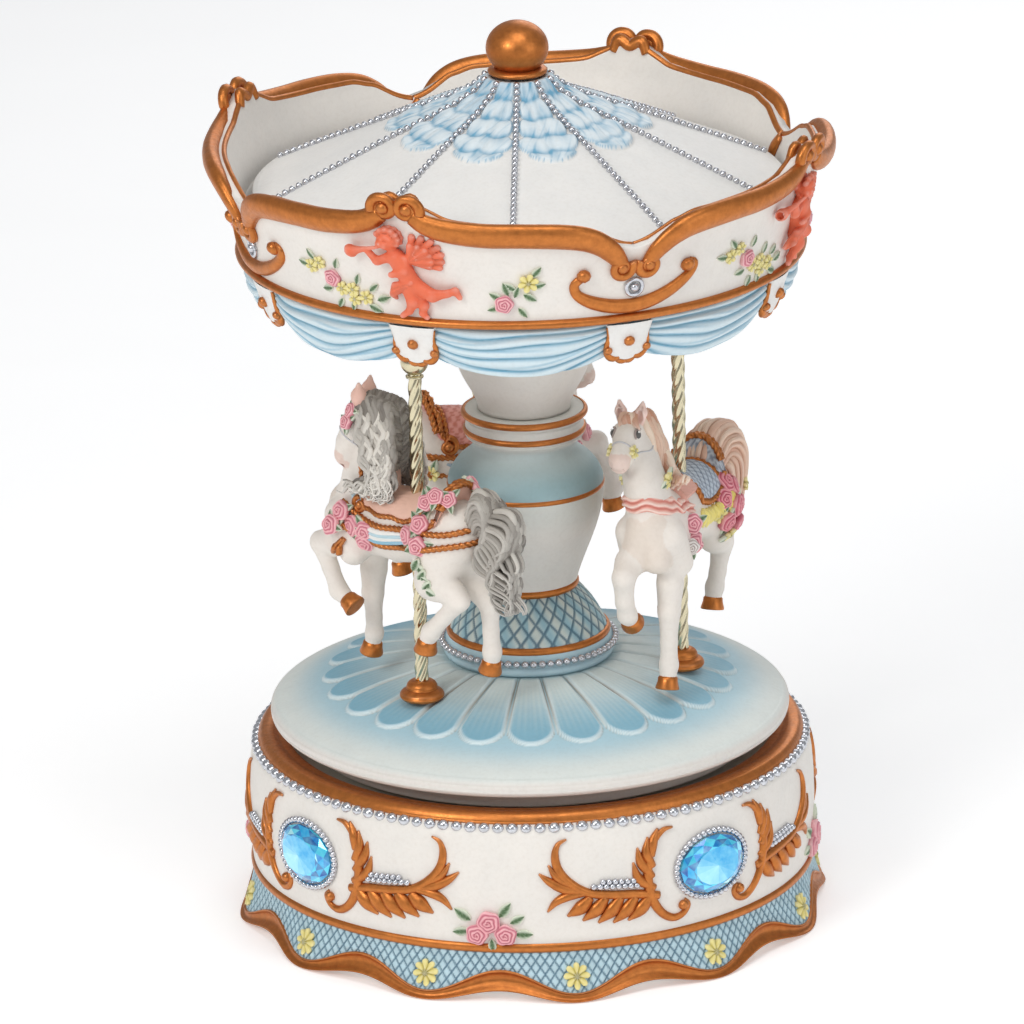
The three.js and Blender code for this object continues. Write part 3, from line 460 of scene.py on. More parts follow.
def stone(name):
    """A faceted clear stone over foil, each facet painted with what it mirrors."""
    s = Shader(name)
    tone = s.blend(s.span(s.noise(2.6, 2), 0.35, 0.7, 0.0, 0.35), s.paint(), (0.35, 0.85, 1.0), "SCREEN")
    s.set(Base_Color=tone, Metallic=0.35, Roughness=s.span(s.noise(1.5), 0.3, 0.7, 0.03, 0.08))
    s.set(Coat_Weight=1.0, Coat_Roughness=0.02, IOR=1.6)
    # A faint painted glow: the stone gives off light in its own colour.
    s.set(Emission_Color=tone, Emission_Strength=0.12)
    return s.material


def moulded(name, colour, roughness, grain):
    """Moulded plastic or rubber with a fine grain."""
    s = Shader(name)
    tone = s.blend(s.span(s.noise(4, 4), 0.3, 0.7), colour, np.asarray(colour) * 1.5)
    s.set(Base_Color=tone, Roughness=s.span(s.noise(grain * 3), 0.3, 0.7, roughness - 0.06, roughness + 0.08))
    s.bump(s.noise(grain, 4, 0.7), 0.06, 0.8)
    return s.material


PAINTED = resin("painted_resin")
CASTING = resin("plain_casting", CREAM)
GILT = gilt("copper_gold_paint")
BEADS = beads("plated_beads")
STONE = stone("aqua_stone")
BRASS = bright_metal("polished_brass", srgb(222, 212, 180), 0.16)
WORKS_BRASS = bright_metal("movement_brass", srgb(206, 176, 108), 0.34, 0.25)
STEEL = bright_metal("bright_steel", srgb(178, 180, 184), 0.3, 0.3)
PLASTIC = moulded("cover_plastic", srgb(44, 44, 47), 0.5, 0.5)
RUBBER = moulded("foot_rubber", srgb(34, 34, 34), 0.8, 0.35)

SLOT_MATERIALS = {
    "cream_resin": CASTING,
    "blue_resin": CASTING,
    "copper_paint": GILT,
    "silver_beads": BEADS,
    "pole_brass": BRASS,
    "movement_brass": WORKS_BRASS,
    "steel": STEEL,
    "cover_plastic": PLASTIC,
    "rubber": RUBBER,
    "aqua_stone": STONE,
}


def finish_nodes():
    """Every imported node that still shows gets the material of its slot."""
    for row in frame["record"]["subparts"]:
        mesh = frame["nodes"][row["node"]].data
        mesh.materials.clear()
        mesh.materials.append(SLOT_MATERIALS[row["material_slot"]])


# Ornament: everything here is laid out on a flat sheet as (across, up, out) and then seated on a surface


def wrapped(angle, surface, reference):
    """Bends a flat layout round the axis: across becomes arc length, out adds to surface(z)."""

    def move(points):
        z = points[:, 1]
        turn = angle + np.degrees(points[:, 0] / reference)
        return polar(turn, surface(z, turn) + points[:, 2], z)

    return move


def seated(origin, normal, up=(0, 0, 1), spin=0.0):
    """Moves a small flat layout to a point, facing along normal."""
    normal = np.asarray(normal, float) / np.linalg.norm(normal)
    east = np.cross(up, normal)
    east /= np.linalg.norm(east)
    north = np.cross(normal, east)
    c, s = math.cos(math.radians(spin)), math.sin(math.radians(spin))
    axes = np.array([east * c + north * s, north * c - east * s, normal])
    return lambda points: np.asarray(origin) + points @ axes


def shifted(move, across, up, spin=0.0, out=0.0):
    """A layout moved by (across, up) and turned before it is seated."""
    c, s = math.cos(math.radians(spin)), math.sin(math.radians(spin))
    turn = np.array([[c, s, 0], [-s, c, 0], [0, 0, 1]])
    return lambda points: move(points @ turn + (across, up, out))


def inside_of(outer, inner):
    """A layout that is seated on another layout."""
    return lambda points: outer(inner(points))


def disc(clay, move, radius, height, rings, columns, paint):
    """A domed disc from height(share, turn) and radius(share, turn), its rim tucked under."""
    share = np.linspace(0, 1, rings)[1:, None]
    turn = np.linspace(0, 2 * np.pi, columns, endpoint=False)[None, :]
    r, h = radius(share, turn), height(share, turn)
    colours = paint(share, turn + 0 * share)
    r, h = np.vstack([r, r[-1:] * 0.9]), np.vstack([h, h[-1:] * 0 - 0.6])
    colours = np.vstack([colours, colours[-1:]])
    flat = np.stack([r * np.cos(turn), r * np.sin(turn), h], -1).reshape(-1, 3)
    centre = [0, 0, float(height(np.zeros((1, 1)), turn).mean())]
    flat = np.vstack([flat, [centre], [[0, 0, -0.6]]])
    i = np.arange(columns)
    j = (i + 1) % columns
    last = (rings - 1) * columns
    faces = [
        grid_faces(rings, columns, around=True)[:, ::-1],
        np.stack([i, j, np.full(columns, rings * columns)], -1),
        np.stack([j + last, i + last, np.full(columns, rings * columns + 1)], -1),
    ]
    paint_rows = np.vstack([colours.reshape(-1, 3), colours[0].mean(0)[None], colours[-1, :1]])
    clay.add(move(flat), faces, paint_rows)


def rose(clay, move, radius, deep=PINK, pale=PALE_PINK, seed=0.0):
    """An open rose: petals wound in a spiral round a bud."""

    def wind(share, turn):
        return 3.2 * share + (turn + seed) / (2 * np.pi) + 0.13 * np.sin(3 * turn + seed + 5 * share)

    def ridge(share, turn):
        phase = wind(share, turn) % 1
        return np.where(phase < 0.72, phase / 0.72, (1 - phase) / 0.28)

    def height(share, turn):
        dome = np.sqrt(np.clip(1 - (share * 0.93) ** 2, 0, 1))
        return radius * (0.62 * dome + 0.2 * ridge(share, turn) * np.minimum(1, 3 * share + 0.15) - 0.08)

    def reach(share, turn):
        return radius * share * (1 + 0.07 * np.cos(5 * turn + seed))

    def paint(share, turn):
        return mixed(deep * 0.72, mixed(deep, pale, 0.75), smooth_step(0.05, 0.8, ridge(share, turn)))

    disc(clay, move, reach, height, 15, 30, paint)


def daisy(clay, move, radius, petals=8, colour=YELLOW, heart=srgb(150, 142, 60)):
    """A flat flower with notched petals round a button."""

    def notch(turn):
        return np.abs(np.cos(petals * turn / 2))

    def reach(share, turn):
        return radius * share * (0.58 + 0.42 * notch(turn) ** 0.7)

    def height(share, turn):
        button = 0.3 * np.clip(1 - (share / 0.3) ** 2, 0, 1) ** 0.5
        petal = 0.22 * notch(turn) ** 0.5 * smooth_step(0.22, 0.4, share) * (1 - 0.5 * share)
        return radius * (0.1 + button + petal)

    def paint(share, turn):
        petal = mixed(
            colour * 0.66, mixed(colour, (1, 1, 0.8), 0.25), notch(turn) ** 0.6 * (0.4 + 0.6 * share)
        )
        return mixed(heart, petal, smooth_step(0.2, 0.34, share))

    disc(clay, move, reach, height, 9, petals * 6, paint)


def leaf(clay, move, length, width, colour=GREEN, edge=srgb(214, 224, 200)):
    """A pointed leaf with a midrib, notched edges and a pale rim. It grows from the origin upwards."""
    rows, columns = 12, 7
    v = np.linspace(0, 1, rows)[:, None]
    u = np.linspace(-1, 1, columns)[None, :]
    x = u * (width / 2 * np.sin(np.pi * v**0.85) ** 0.8 * (1 + 0.1 * np.cos(v * 32)))
    y = v * length + 0 * u
    vein = 0.5 + 0.5 * np.cos(v * 26 - np.abs(u) * 5)
    h = 0.5 + 0.1 * width * np.abs(u) * (1 - v) + 0.18 * width * np.sin(np.pi * v) - 0.12 * vein
    h = h * np.where(np.abs(u) > 0.9, 0.85, 1)
    shade = np.clip(1.25 * np.abs(u) ** 2 + 0.25 * vein - 0.15, 0, 1)
    colours = mixed(colour * 0.7, edge, shade)
    top = np.stack([x, y, h], -1)
    base = np.stack([x * 0.86, y, h * 0 - 0.4], -1)
    slab(clay, move, top, base, colours, colours[:, ::-1])


def stroke(clay, move, points, paint=COPPER, flat=0.8, sides=10, count=None, ridges=0, depth=0.0):
    """A raised brush stroke through (across, up, radius) points."""
    points = np.asarray(points, float)
    length = np.linalg.norm(np.diff(points[:, :2], axis=0), axis=1).sum()
    path = curve(np.insert(points, 2, 0.15, axis=1), count or max(8, int(length / 0.55)))
    part = Clay()
    sweep(part, path[:, :3], path[:, 3], paint, sides, flat, (0, 0, 1), ridges=ridges, depth=depth)
    clay.take(part, move)


def volute(clay, move, centre, radius, start, turns, hand=1, width=0.42):
    """A spiral scroll that winds in from an angle to a button at its centre."""
    t = np.linspace(0, 1, int(18 * turns) + 4)
    angle = np.radians(start) + hand * 2 * np.pi * turns * t
    reach = radius * (1 - 0.8 * t)
    across, up = centre[0] + reach * np.cos(angle), centre[1] + reach * np.sin(angle)
    points = np.stack([across, up, radius * width * (1 - 0.45 * t)], -1)
    stroke(clay, move, points, flat=1.0, count=len(t) * 2)
    part = Clay()
    ball(part, (centre[0], centre[1], radius * 0.15), radius * 0.5, COPPER, stretch=(1, 1, 0.9))
    clay.take(part, move)


def bead(clay, move, across, up, radius, paint=SILVER, squash=0.9, out=None):
    part = Clay()
    place = (across, up, radius * 0.55 if out is None else out)
    ball(part, place, radius, paint, rows=6, columns=9, stretch=(1, squash, 1))
    clay.take(part, move)


def bouquet(clay, move, roses, leaves, flowers=()):
    """Leaves underneath, then roses and small yellow flowers. Each rose is (across, up, radius)."""
    for across, up, spin, length in leaves:
        leaf(clay, shifted(move, across, up, spin), length, length * 0.52)
    for number, (across, up, radius) in enumerate(roses):
        rose(clay, shifted(move, across, up, 40 * number, 0.35), radius, seed=1.7 * number)
    for across, up, radius in flowers:
        daisy(clay, shifted(move, across, up, 17, 0.5), radius, petals=6)


# Base: drum, skirt, hem, trim, stones, scrolls and flowers

BASE_TOP = box_mm("base_shell")[1][2]
GEM_ANGLES = {"front_right": 38, "back_right": 128, "back_left": 218, "front_left": 308}
BAND_Z = 14.4
HEM_WAVES = 12
HEM_PHASE = 8
SKIRT_DIAMONDS = 192
SKIRT_DIAMOND_HEIGHT = 3.7
PEARL_COUNT = 126
DRUM_ARC = 79.5
GEM_SEAT = 80.0
GEM_HALF_WIDTH = 11.0
BOUQUET_STEP = 43.2


def hem_wave(angle):
    return np.cos(np.radians(HEM_WAVES * (angle - HEM_PHASE)))


def drum_radius(z, angle=0):
    """The drum's outer face: a slight bulge above the band, the ruffled skirt below it."""
    panel = 79.0 + 0.9 * np.sin(np.pi * np.clip((z - BAND_Z) / 34, 0, 1))
    skirt = 78.8 + 2.9 * (1 - np.clip(z / BAND_Z, 0, 1)) ** 1.3
    ruffle = 1.25 * hem_wave(angle) * (1 - np.clip(z / BAND_Z, 0, 1))
    return np.where(z > BAND_Z, panel, skirt + ruffle)


def lattice(across, up):
    """How close a point is to a diamond lattice's lines: 1 on a line, 0 in a cell."""
    near = np.minimum(*(np.abs((across + sign * up + 0.5) % 1 - 0.5) for sign in (1, -1)))
    return 1 - smooth_step(0.05, 0.17, near)


def drum():
    wall = [[78.2, 13.2], [79.0, 15], [79.35, 18], [79.75, 24], [79.9, 31], [79.75, 38], [79.3, 44]]
    wall += [[78.6, 48], [76.8, 50.4]]
    mouth = [[74.8, 50.6], [68.9, 50.4], [68.4, 49.8], [68.4, 47.4], [67.4, 46.9], [66.2, 46.9]]
    mouth += [[66.0, 46.5], [8.2, 46.5]]
    hollow = [[8.2, 44], [69.8, 44], [71, 42], [71, 2.5], [74, 1.6], [78, 3]]
    outline = rounded(along(wall + mouth + hollow, 3), 0.5)

    def paint(angle, radius, z):
        shade = mixed(CREAM * 0.8, CREAM, smooth_step(14.5, 18.5, z))
        inside = smooth_step(69.5, 68, radius) * smooth_step(45, 46, z)
        return mixed(shade, srgb(206, 202, 190), inside)

    piece = Clay()
    revolve(piece, outline, paint, 240)
    make("base_drum", piece, PAINTED, "base", "cream_resin", ["base_shell"])


def skirt():
    v, angle = band_grid(34, 1440)
    low = 5.3 - 3.1 * hem_wave(angle)
    z = low + (BAND_Z - low) * v
    line = lattice(angle / 360 * SKIRT_DIAMONDS, z / SKIRT_DIAMOND_HEIGHT)
    line = line * smooth_step(0, 0.03, v)
    radius = drum_radius(z, angle) - 0.3 * line
    outer = polar(angle, radius, z)
    inner = polar(angle, radius - 1.6, z)[::-1]
    cell = mixed(PALE_BLUE * 0.93, PALE_BLUE * 1.04, 0.5 + 0.5 * np.sin(angle * 0.7 + z))
    colours = mixed(cell, LATTICE_LINE, line * 0.9)
    piece = Clay()
    band(piece, [outer, inner], np.concatenate([colours, colours[::-1]]))
    make("base_skirt", piece, PAINTED, "base", "blue_resin", ["base_shell"])


def hem():
    t, angle = band_grid(15, 720)
    wave = hem_wave(angle)
    bottom = 1.45 - 1.35 * wave
    top = 5.5 - 3.1 * wave
    z = bottom + (top - bottom) * t
    height = top - bottom
    edge = 0.55 * np.exp(-(((t - 0.94) / 0.09) ** 2)) + 0.75 * np.exp(-((t / 0.16) ** 2))
    cove = -0.26 * (height - 1.5) * np.sin(np.pi * np.clip(t, 0, 1)) ** 1.5
    radius = drum_radius(z, angle) + 0.15 + edge + cove
    outer = polar(angle, radius, z)
    foot = polar(angle, radius[:1] - 3.4, bottom + 0.9)
    back = polar(angle, radius[-1:] - 2.6, top - 0.4)
    piece = Clay()
    band(piece, [foot, outer, back], COPPER)
    make("base_hem", piece, GILT, "base", "copper_paint", ["base_shell"])


def trim():
    """The half-round band above the skirt, and the rolled rim with its flat inner lip."""
    piece = Clay()
    turn = np.radians(np.linspace(-100, 100, 13))
    band = np.stack([78.5 + 1.35 * np.cos(turn), BAND_Z + 0.5 + 1.5 * np.sin(turn)], -1)
    revolve(piece, band, COPPER, 360)
    top = BASE_TOP
    rim = [[75.2, 49.6], [76.9, 50.4], [76.9, 51.4], [75.9, 52.9], [74.6, top], [72.4, top - 0.2]]
    rim += [[71.6, top - 0.9], [69.4, top - 0.7], [68.4, top - 1.2], [68.2, 50.2], [70, 49.8]]
    revolve(piece, rounded(rim, 0.8, 4), COPPER, 360)
    make("base_trim", piece, GILT, "base", "copper_paint", ["base_shell"])


def pearl_ring(name, count, radius, z, size, stands_for, body):
    piece = Clay()
    for number in range(count):
        swell = 1 + 0.05 * math.sin(number * 2.4)
        place = polar(360 / count * (number + 0.5), radius, z)
        ball(piece, place, size * swell, SILVER, rows=7, columns=10, stretch=(1, 1, 0.86))
    make(name, piece, BEADS, body, "silver_beads", stands_for)


def gem(name, angle):
    """An oval stone: a flat table inside two rows of slanting facets, in a bezel of beads."""
    low, high = box_mm("gem_" + name)
    middle = (low[2] + high[2]) / 2
    half_height = (high[2] - low[2]) / 2
    at = wrapped(angle, lambda z, a: GEM_SEAT, DRUM_ARC)
    # Blues from deep to pale, painted on the facets as reflections.
    tones = [srgb(0, 84, 164), srgb(0, 126, 204), srgb(0, 164, 226), srgb(64, 208, 242), srgb(170, 240, 252)]
    rings = [(1.0, 0.0, 0.2), (1.0, 0.0, 0.9), (0.88, 0.5, 1.9), (0.72, 0.0, 2.7), (0.66, 0.5, 2.9)]
    count = 14
    loops = []
    for share, step, out in rings:
        turn = 2 * np.pi * (np.arange(count) + step) / count
        across, up = GEM_HALF_WIDTH * share * np.cos(turn), middle + half_height * share * np.sin(turn)
        loops.append(np.stack([across, up, 0 * turn + out], -1))
    piece = Clay()

    def facet(corners, tone):
        piece.add(at(np.array(corners)), [np.arange(len(corners))[None]], tone)

    draw = np.random.default_rng(int(angle))
    for k in range(len(rings) - 1):
        step = rings[k + 1][1] - rings[k][1]
        for i in range(count):
            j = (i + 1) % count
            inner = loops[k + 1]
            side = draw.choice(5, p=[0.22, 0.3, 0.26, 0.14, 0.08])
            if step == 0:
                facet([loops[k][i], loops[k][j], inner[j], inner[i]], tones[side])
            elif step > 0:
                facet([loops[k][i], loops[k][j], inner[i]], tones[side])
                facet([loops[k][j], inner[j], inner[i]], tones[(side + 2) % 4])
            else:
                facet([loops[k][i], inner[j], inner[i]], tones[side])
                facet([loops[k][i], loops[k][j], inner[j]], tones[(side + 2) % 4])
    table = loops[-1]
    for i in range(count):
        # Painted highlight: the table's facets grow paler towards one side.
        glow = 0.5 + 0.5 * math.cos(2 * math.pi * (i + 0.5) / count - math.radians(215))
        facet([table[i], table[(i + 1) % count], [0, middle, 3.0]], mixed(tones[2], tones[4], glow**2 * 0.8))
    back = loops[0]
    for i in range(count):
        facet([back[(i + 1) % count], back[i], [0, middle, 0.1]], tones[0])
    make("gem_" + name + "_cut", piece, STONE, "base", "aqua_stone", ["gem_" + name], smooth=False)

    ring = Clay()
    around = wrapped(angle, drum_radius, DRUM_ARC)
    for i in range(42):
        turn = 2 * math.pi * i / 42
        up = middle + (half_height + 1.2) * math.sin(turn)
        bead(ring, around, 12.1 * math.cos(turn), up, 0.98, squash=1.0)
    make("gem_bezel_" + name, ring, BEADS, "base", "silver_beads", ["gem_beads_" + name])


def base_scroll(gilt_clay, bead_clay, angle, hand):
    """The acanthus scroll beside a stone: a C, a spray up its back and a long arm with hanging lobes."""
    at = wrapped(angle, drum_radius, DRUM_ARC)

    def line(points, **how):
        stroke(gilt_clay, at, [(hand * x, z, r) for x, z, r in points], **how)

    line([(12.6, 46.2, 0.35), (15.6, 45.8, 0.75), (18.6, 43.0, 1.05), (20.4, 38.2, 1.3), (20.7, 32.2, 1.45),
          (19.4, 26.4, 1.4), (16.6, 21.9, 1.25), (13.0, 19.6, 1.15), (9.8, 20.2, 1.0), (8.2, 22.6, 0.9),
          (9.6, 24.2, 0.8)])
    button = Clay()
    ball(button, (hand * 9.9, 22.9, 0.6), 1.5, COPPER)
    gilt_clay.take(button, at)
    spray = [((19.2, 36), (21.0, 40), (20.4, 44.6)), ((19.4, 33), (22.6, 37.6), (23.6, 42)),
             ((18.8, 29.6), (23.4, 33), (25.0, 38)), ((19.6, 39), (18.9, 43), (17.2, 46.6))]
    for start, middle, tip in spray:
        line([(*start, 1.1), (*middle, 1.45), (*tip, 0.3)], flat=0.9)
    line([(17.4, 27.2, 1.2), (23.6, 28.6, 1.35), (31, 29.4, 1.3), (37.6, 30.6, 1.3), (42.4, 33.4, 1.35),
          (45.8, 37.4, 1.3), (46.9, 41.8, 1.1), (46.0, 45.2, 0.7), (43.6, 46.6, 0.3)])
    line([(39.4, 31.2, 0.9), (44.4, 32.4, 1.5), (48.4, 34.6, 1.2), (51.4, 37.0, 0.3)], flat=0.9)
    line([(38.4, 30.8, 0.9), (43.4, 30.2, 1.4), (46.8, 28.6, 1.1), (49.2, 25.8, 0.3)], flat=0.9)
    line([(41, 32.2, 0.8), (46.2, 35.6, 1.2), (48.8, 39.4, 0.3)], flat=0.9)
    for k in range(5):
        root = 20.0 + 4.3 * k
        drop = 6.2 - 0.2 * k - 0.3 * (k - 1.8) ** 2
        line([(root, 27.6 + 0.45 * k, 1.2), (root + 2.9, 26.6 - 0.45 * drop + 0.45 * k, 2.1),
              (root + 6.6, 26.4 - drop + 0.45 * k, 0.35)], flat=0.75, ridges=3, depth=0.1)
    for k in range(14):
        row, step = divmod(k, 8)
        across = hand * (24.2 + 1.75 * step + 0.9 * row)
        bead(bead_clay, at, across, 31.4 + 1.5 * row + 0.15 * step, 0.95 - 0.05 * row, squash=1.0)


def base_ornament():
    scrolls, pearls, flowers = Clay(), Clay(), Clay()
    for angle in GEM_ANGLES.values():
        for hand in (1, -1):
            base_scroll(scrolls, pearls, angle, hand)
        at = wrapped(angle + BOUQUET_STEP, drum_radius, DRUM_ARC)
        roses = [(-3.7, 19.2, 3.1), (4.1, 19.2, 3.1), (-0.4, 22.9, 3.3)]
        leaves = [(-5.4, 23.2, 55, 5.6), (2.4, 24.4, -38, 5.4), (6.6, 19.4, -92, 5.2), (-6, 20, 98, 4.8)]
        leaves += [(0.2, 17.8, 186, 4.4), (5.4, 22.6, -62, 4.6)]
        bouquet(flowers, at, roses, leaves)
    for k in range(HEM_WAVES):
        at = wrapped(HEM_PHASE + 30 * k, drum_radius, DRUM_ARC)
        daisy(flowers, shifted(at, 0, 7.0, 9 * k), 3.7)
    make("base_scrolls", scrolls, GILT, "base", "copper_paint")
    make("base_scroll_beads", pearls, BEADS, "base", "silver_beads")
    make("base_flowers", flowers, PAINTED, "base", "cream_resin")


drum()
skirt()
hem()
trim()
pearl_ring("rim_pearls", PEARL_COUNT, 77.2, 49.5, 1.75, ["rim_bead_strand"], "base")
for gem_name, gem_angle in GEM_ANGLES.items():
    gem(gem_name, gem_angle)
base_ornament()


# Turntable: platform, poles and column

PLATFORM_RADIUS = box_mm("platform")[1][0]
PETALS = 24
PETAL_ROOT = 23.0
PETAL_TIP = 58.5
FOOT_PEARLS = 64
FOOT_DIAMONDS = 30
POLE_CIRCLE = 44.0
POLES = {"left": -43, "right": 77, "back": 197}


def platform():
    top = [[71.7, 56.5], [PLATFORM_RADIUS - 0.4, 57.4], [PLATFORM_RADIUS, 59.2], [72.6, 60.7]]
    top += [[70, 62.2], [64, 64.6]]
    top += [[58, 66.6], [51, 68.8], [44, 70.6], [34, 72.4], [24.5, 73.8], [20, 74.0], [3.3, 74.0]]
    under = [[3.3, 48.2], [9, 48.2], [9, 50.5], [63.2, 50.5], [63.4, 51], [63.4, 55.6], [64, 56]]
    top = rounded(top, 2.0, 4)
    outline = np.vstack([along(top, 0.66), under])
    half = 180 / PETALS

    def petal(angle, radius):
        """Distance in mm inside a petal's edge, and the share of the way out to its tip."""
        offset = np.radians(np.abs((angle + half) % (2 * half) - half)) * radius
        width = np.radians(half) * np.minimum(radius, 52.5) - 0.32
        cap = PETAL_TIP - width
        reach = np.hypot(offset, np.maximum(radius - cap, 0))
        return width - reach, (radius - PETAL_ROOT) / (PETAL_TIP - PETAL_ROOT)

    def shape(angle, radius, z):
        inside, _ = petal(angle, radius)
        on = (z > 62) & (radius > 20)
        rise = smooth_step(-0.1, 0.75, inside) * (0.78 + 0.16 * smooth_step(3.5, 0.8, inside))
        groove = -0.28 * np.exp(-((inside / 0.22) ** 2)) * (radius < 57)
        rise = np.where(radius > 22.5, rise * smooth_step(22.5, 27, radius) + groove, 0)
        return radius, z + np.where(on, rise, 0)

    def paint(angle, radius, z):
        inside, share = petal(angle, radius)
        deeper = smooth_step(0.12, 0.95, share + 0.05 * np.sin(angle * 3.1))
        tip = mixed(srgb(216, 228, 226), srgb(134, 184, 204), deeper)
        # Painted highlight: each petal is paler along its raised rim.
        rim = mixed(srgb(222, 236, 238), tip, smooth_step(0.25, 1.15, inside))
        ground = mixed(srgb(176, 210, 222), srgb(224, 230, 226), smooth_step(57, 70, radius))
        colour = mixed(ground, rim, smooth_step(-0.15, 0.15, inside))
        # Painted shade: a brown line in the groove round each petal.
        line = np.exp(-(((inside + 0.02) / 0.2) ** 2)) * smooth_step(62, 45, radius) * 0.75
        colour = mixed(colour, GROOVE_SHADE, line)
        colour = mixed(colour, srgb(196, 220, 224), smooth_step(26, 22.5, radius))
        return mixed(colour, CREAM * 0.93, smooth_step(61.6, 60, z))

    piece = Clay()
    revolve(piece, outline, paint, 26 * PETALS, shape)
    make("platform_petals", piece, PAINTED, "turntable", "blue_resin", ["platform"])


def copper_ring(clay, radius, z, width, height, columns=160):
    """A half-round ring that stands out from radius."""
    turn = np.radians(np.linspace(-110, 110, 11))
    outline = np.stack([radius + width * np.cos(turn), z + height / 2 * np.sin(turn)], -1)
    revolve(clay, outline, COPPER, columns)


def column():
    foot = Clay()
    dome = [[23.2, 76.6], [23.4, 79], [22.3, 81.6], [20.9, 84.6], [18.6, 88.6], [15.9, 92], [13.4, 94.6]]
    base = [[21.8, 74.1], [23.6, 74.3], [24.0, 75.4], [23.6, 76.4]]
    outline = np.vstack([base, curve(dome, 44), [[8, 94.6], [8, 74.1]]])

    def turns(z):
        """How many cells up the dome a point is, with cells as tall as they are wide."""
        return np.log(np.maximum(24.6 - (z - 80) * 0.62, 8) / 24.6) * -FOOT_DIAMONDS / 4.4

    def shape(angle, radius, z):
        line = lattice(angle / 360 * FOOT_DIAMONDS, turns(z)) * (z > 82) * (radius > 10)
        return radius - 0.28 * line, z

    def paint(angle, radius, z):
        line = lattice(angle / 360 * FOOT_DIAMONDS, turns(z)) * smooth_step(81.4, 82.4, z)
        cell = mixed(srgb(212, 222, 216), srgb(158, 196, 208), 0.5 + 0.5 * np.sin(angle * 0.31 + z * 0.4))
        return mixed(mixed(PALE_BLUE, cell, z > 81), LATTICE_LINE, 0.85 * line)

    revolve(foot, outline, paint, 600, shape)
    make("column_foot_lattice", foot, PAINTED, "turntable", "blue_resin", ["column_foot"])

    pearl_ring("foot_pearls", FOOT_PEARLS, 24.3, 78.2, 1.18, (), "turntable")

    vase = Clay()
    belly = [[13.9, 95.4], [14.8, 98.6], [16.4, 103], [18.6, 108.6], [20.3, 113.6], [21.5, 119]]
    belly += [[21.9, 124], [21.2, 127.6], [19.0, 130.9], [16.4, 133.2], [14.9, 134.7], [14.5, 136.4]]
    collar = [[14.9, 137.2], [16.6, 138.4], [17.0, 139.6], [16.6, 141.2], [16.3, 142.8], [16.8, 144]]
    collar += [[17.2, 145.2], [16.6, 146]]
    outline = np.vstack([curve(belly, 60), rounded(collar, 0.7), [[9, 146], [9, 95.4]]])

    def vase_paint(angle, radius, z):
        tone = mixed(CREAM * 0.96, srgb(220, 222, 216), smooth_step(112, 122, z))
        shoulder = mixed(srgb(158, 188, 194), srgb(200, 214, 214), smooth_step(128, 136, z))
        tone = mixed(tone, shoulder, smooth_step(123.8, 124.6, z))
        return mixed(tone, srgb(226, 226, 220), smooth_step(136, 138, z))

    revolve(vase, outline, vase_paint, 160)
    make("column_vase_turned", vase, PAINTED, "turntable", "blue_resin", ["column_vase"])

    capital = Clay()
    cup = [[13.0, 146.3], [13.1, 147.6], [14.4, 151], [16.6, 155], [18.2, 158.6], [19.6, 164]]
    cup += [[21.5, 172], [23.4, 180], [24.4, 184.2]]

    def capital_paint(angle, radius, z):
        # Painted shade: the narrow foot of the cup, under its flare, is darker.
        return mixed(CREAM * 0.9, CREAM, smooth_step(146, 156, z))

    revolve(capital, np.vstack([curve(cup, 50), [[9, 184.2], [9, 146.3]]]), capital_paint, 160)
    make("column_capital_turned", capital, PAINTED, "turntable", "cream_resin", ["column_capital"])

    rings = Clay()
    for radius, z, width, height in ((22.1, 81.0, 1.0, 2.4), (13.1, 95.0, 1.4, 2.8), (21.5, 124.3, 0.65, 1.7),
                                     (16.5, 140.3, 0.8, 1.8), (16.9, 145.2, 0.9, 1.9)):
        copper_ring(rings, radius, z, width, height)
    make("column_rings", rings, GILT, "turntable", "copper_paint")


def turned(middle, outline, paint, columns):
    """A small turned piece that stands off the axis."""
    centred, piece = Clay(), Clay()
    revolve(centred, outline, paint, columns)
    piece.take(centred, lambda points: points + middle)
    return piece


def poles():
    for side, angle in POLES.items():
        low, high = box_mm("pole_" + side)
        middle = polar(angle, POLE_CIRCLE, 0.0)
        start, end = low[2], high[2]
        rod = Clay()
        path = middle + np.linspace(start, end, 300)[:, None] * [0, 0, 1]
        turns = (end - start) / 24
        sweep(rod, path, 1.72, BRASS_COLOUR, sides=30, ridges=5, depth=0.13, twist=2 * np.pi * turns)
        make("twisted_pole_" + side, rod, BRASS, "turntable", "pole_brass", ["pole_" + side])

        cap_low, cap_high = box_mm("pole_cap_" + side)
        centre = (cap_low[2] + cap_high[2]) / 2
        turn = np.radians(np.linspace(-80, 80, 15))
        sphere = [[3.9 * math.cos(t), centre + 3.7 * math.sin(t)] for t in turn]
        neck = [[2.0, centre - 4.6], [2.5, centre - 4.4], [2.5, centre - 3.9], [1.9, centre - 3.7]]
        outline = np.array(neck + sphere + [[1.0, centre + 3.7], [1.0, centre - 4.6]])
        cap = turned(middle, outline, BRASS_COLOUR, 32)
        make("pole_ball_" + side, cap, BRASS, "turntable", "pole_brass", ["pole_cap_" + side])

        foot_low, _ = box_mm("pole_collar_" + side)
        z = foot_low[2]
        steps = [[5.6, z], [6.2, z + 0.6], [6.25, z + 1.5], [5.6, z + 2.3], [4.6, z + 2.7], [4.3, z + 3.0]]
        steps += [[4.4, z + 3.7], [3.9, z + 4.7], [2.9, z + 5.3], [2.0, z + 5.4]]
        foot = turned(middle, np.vstack([rounded(steps, 0.5), [[1.6, z + 5.2], [1.6, z]]]), COPPER, 48)
        make("pole_foot_" + side, foot, GILT, "turntable", "copper_paint", ["pole_collar_" + side])


platform()
column()
poles()


# Canopy: roof, crown, moulding, valance and finial

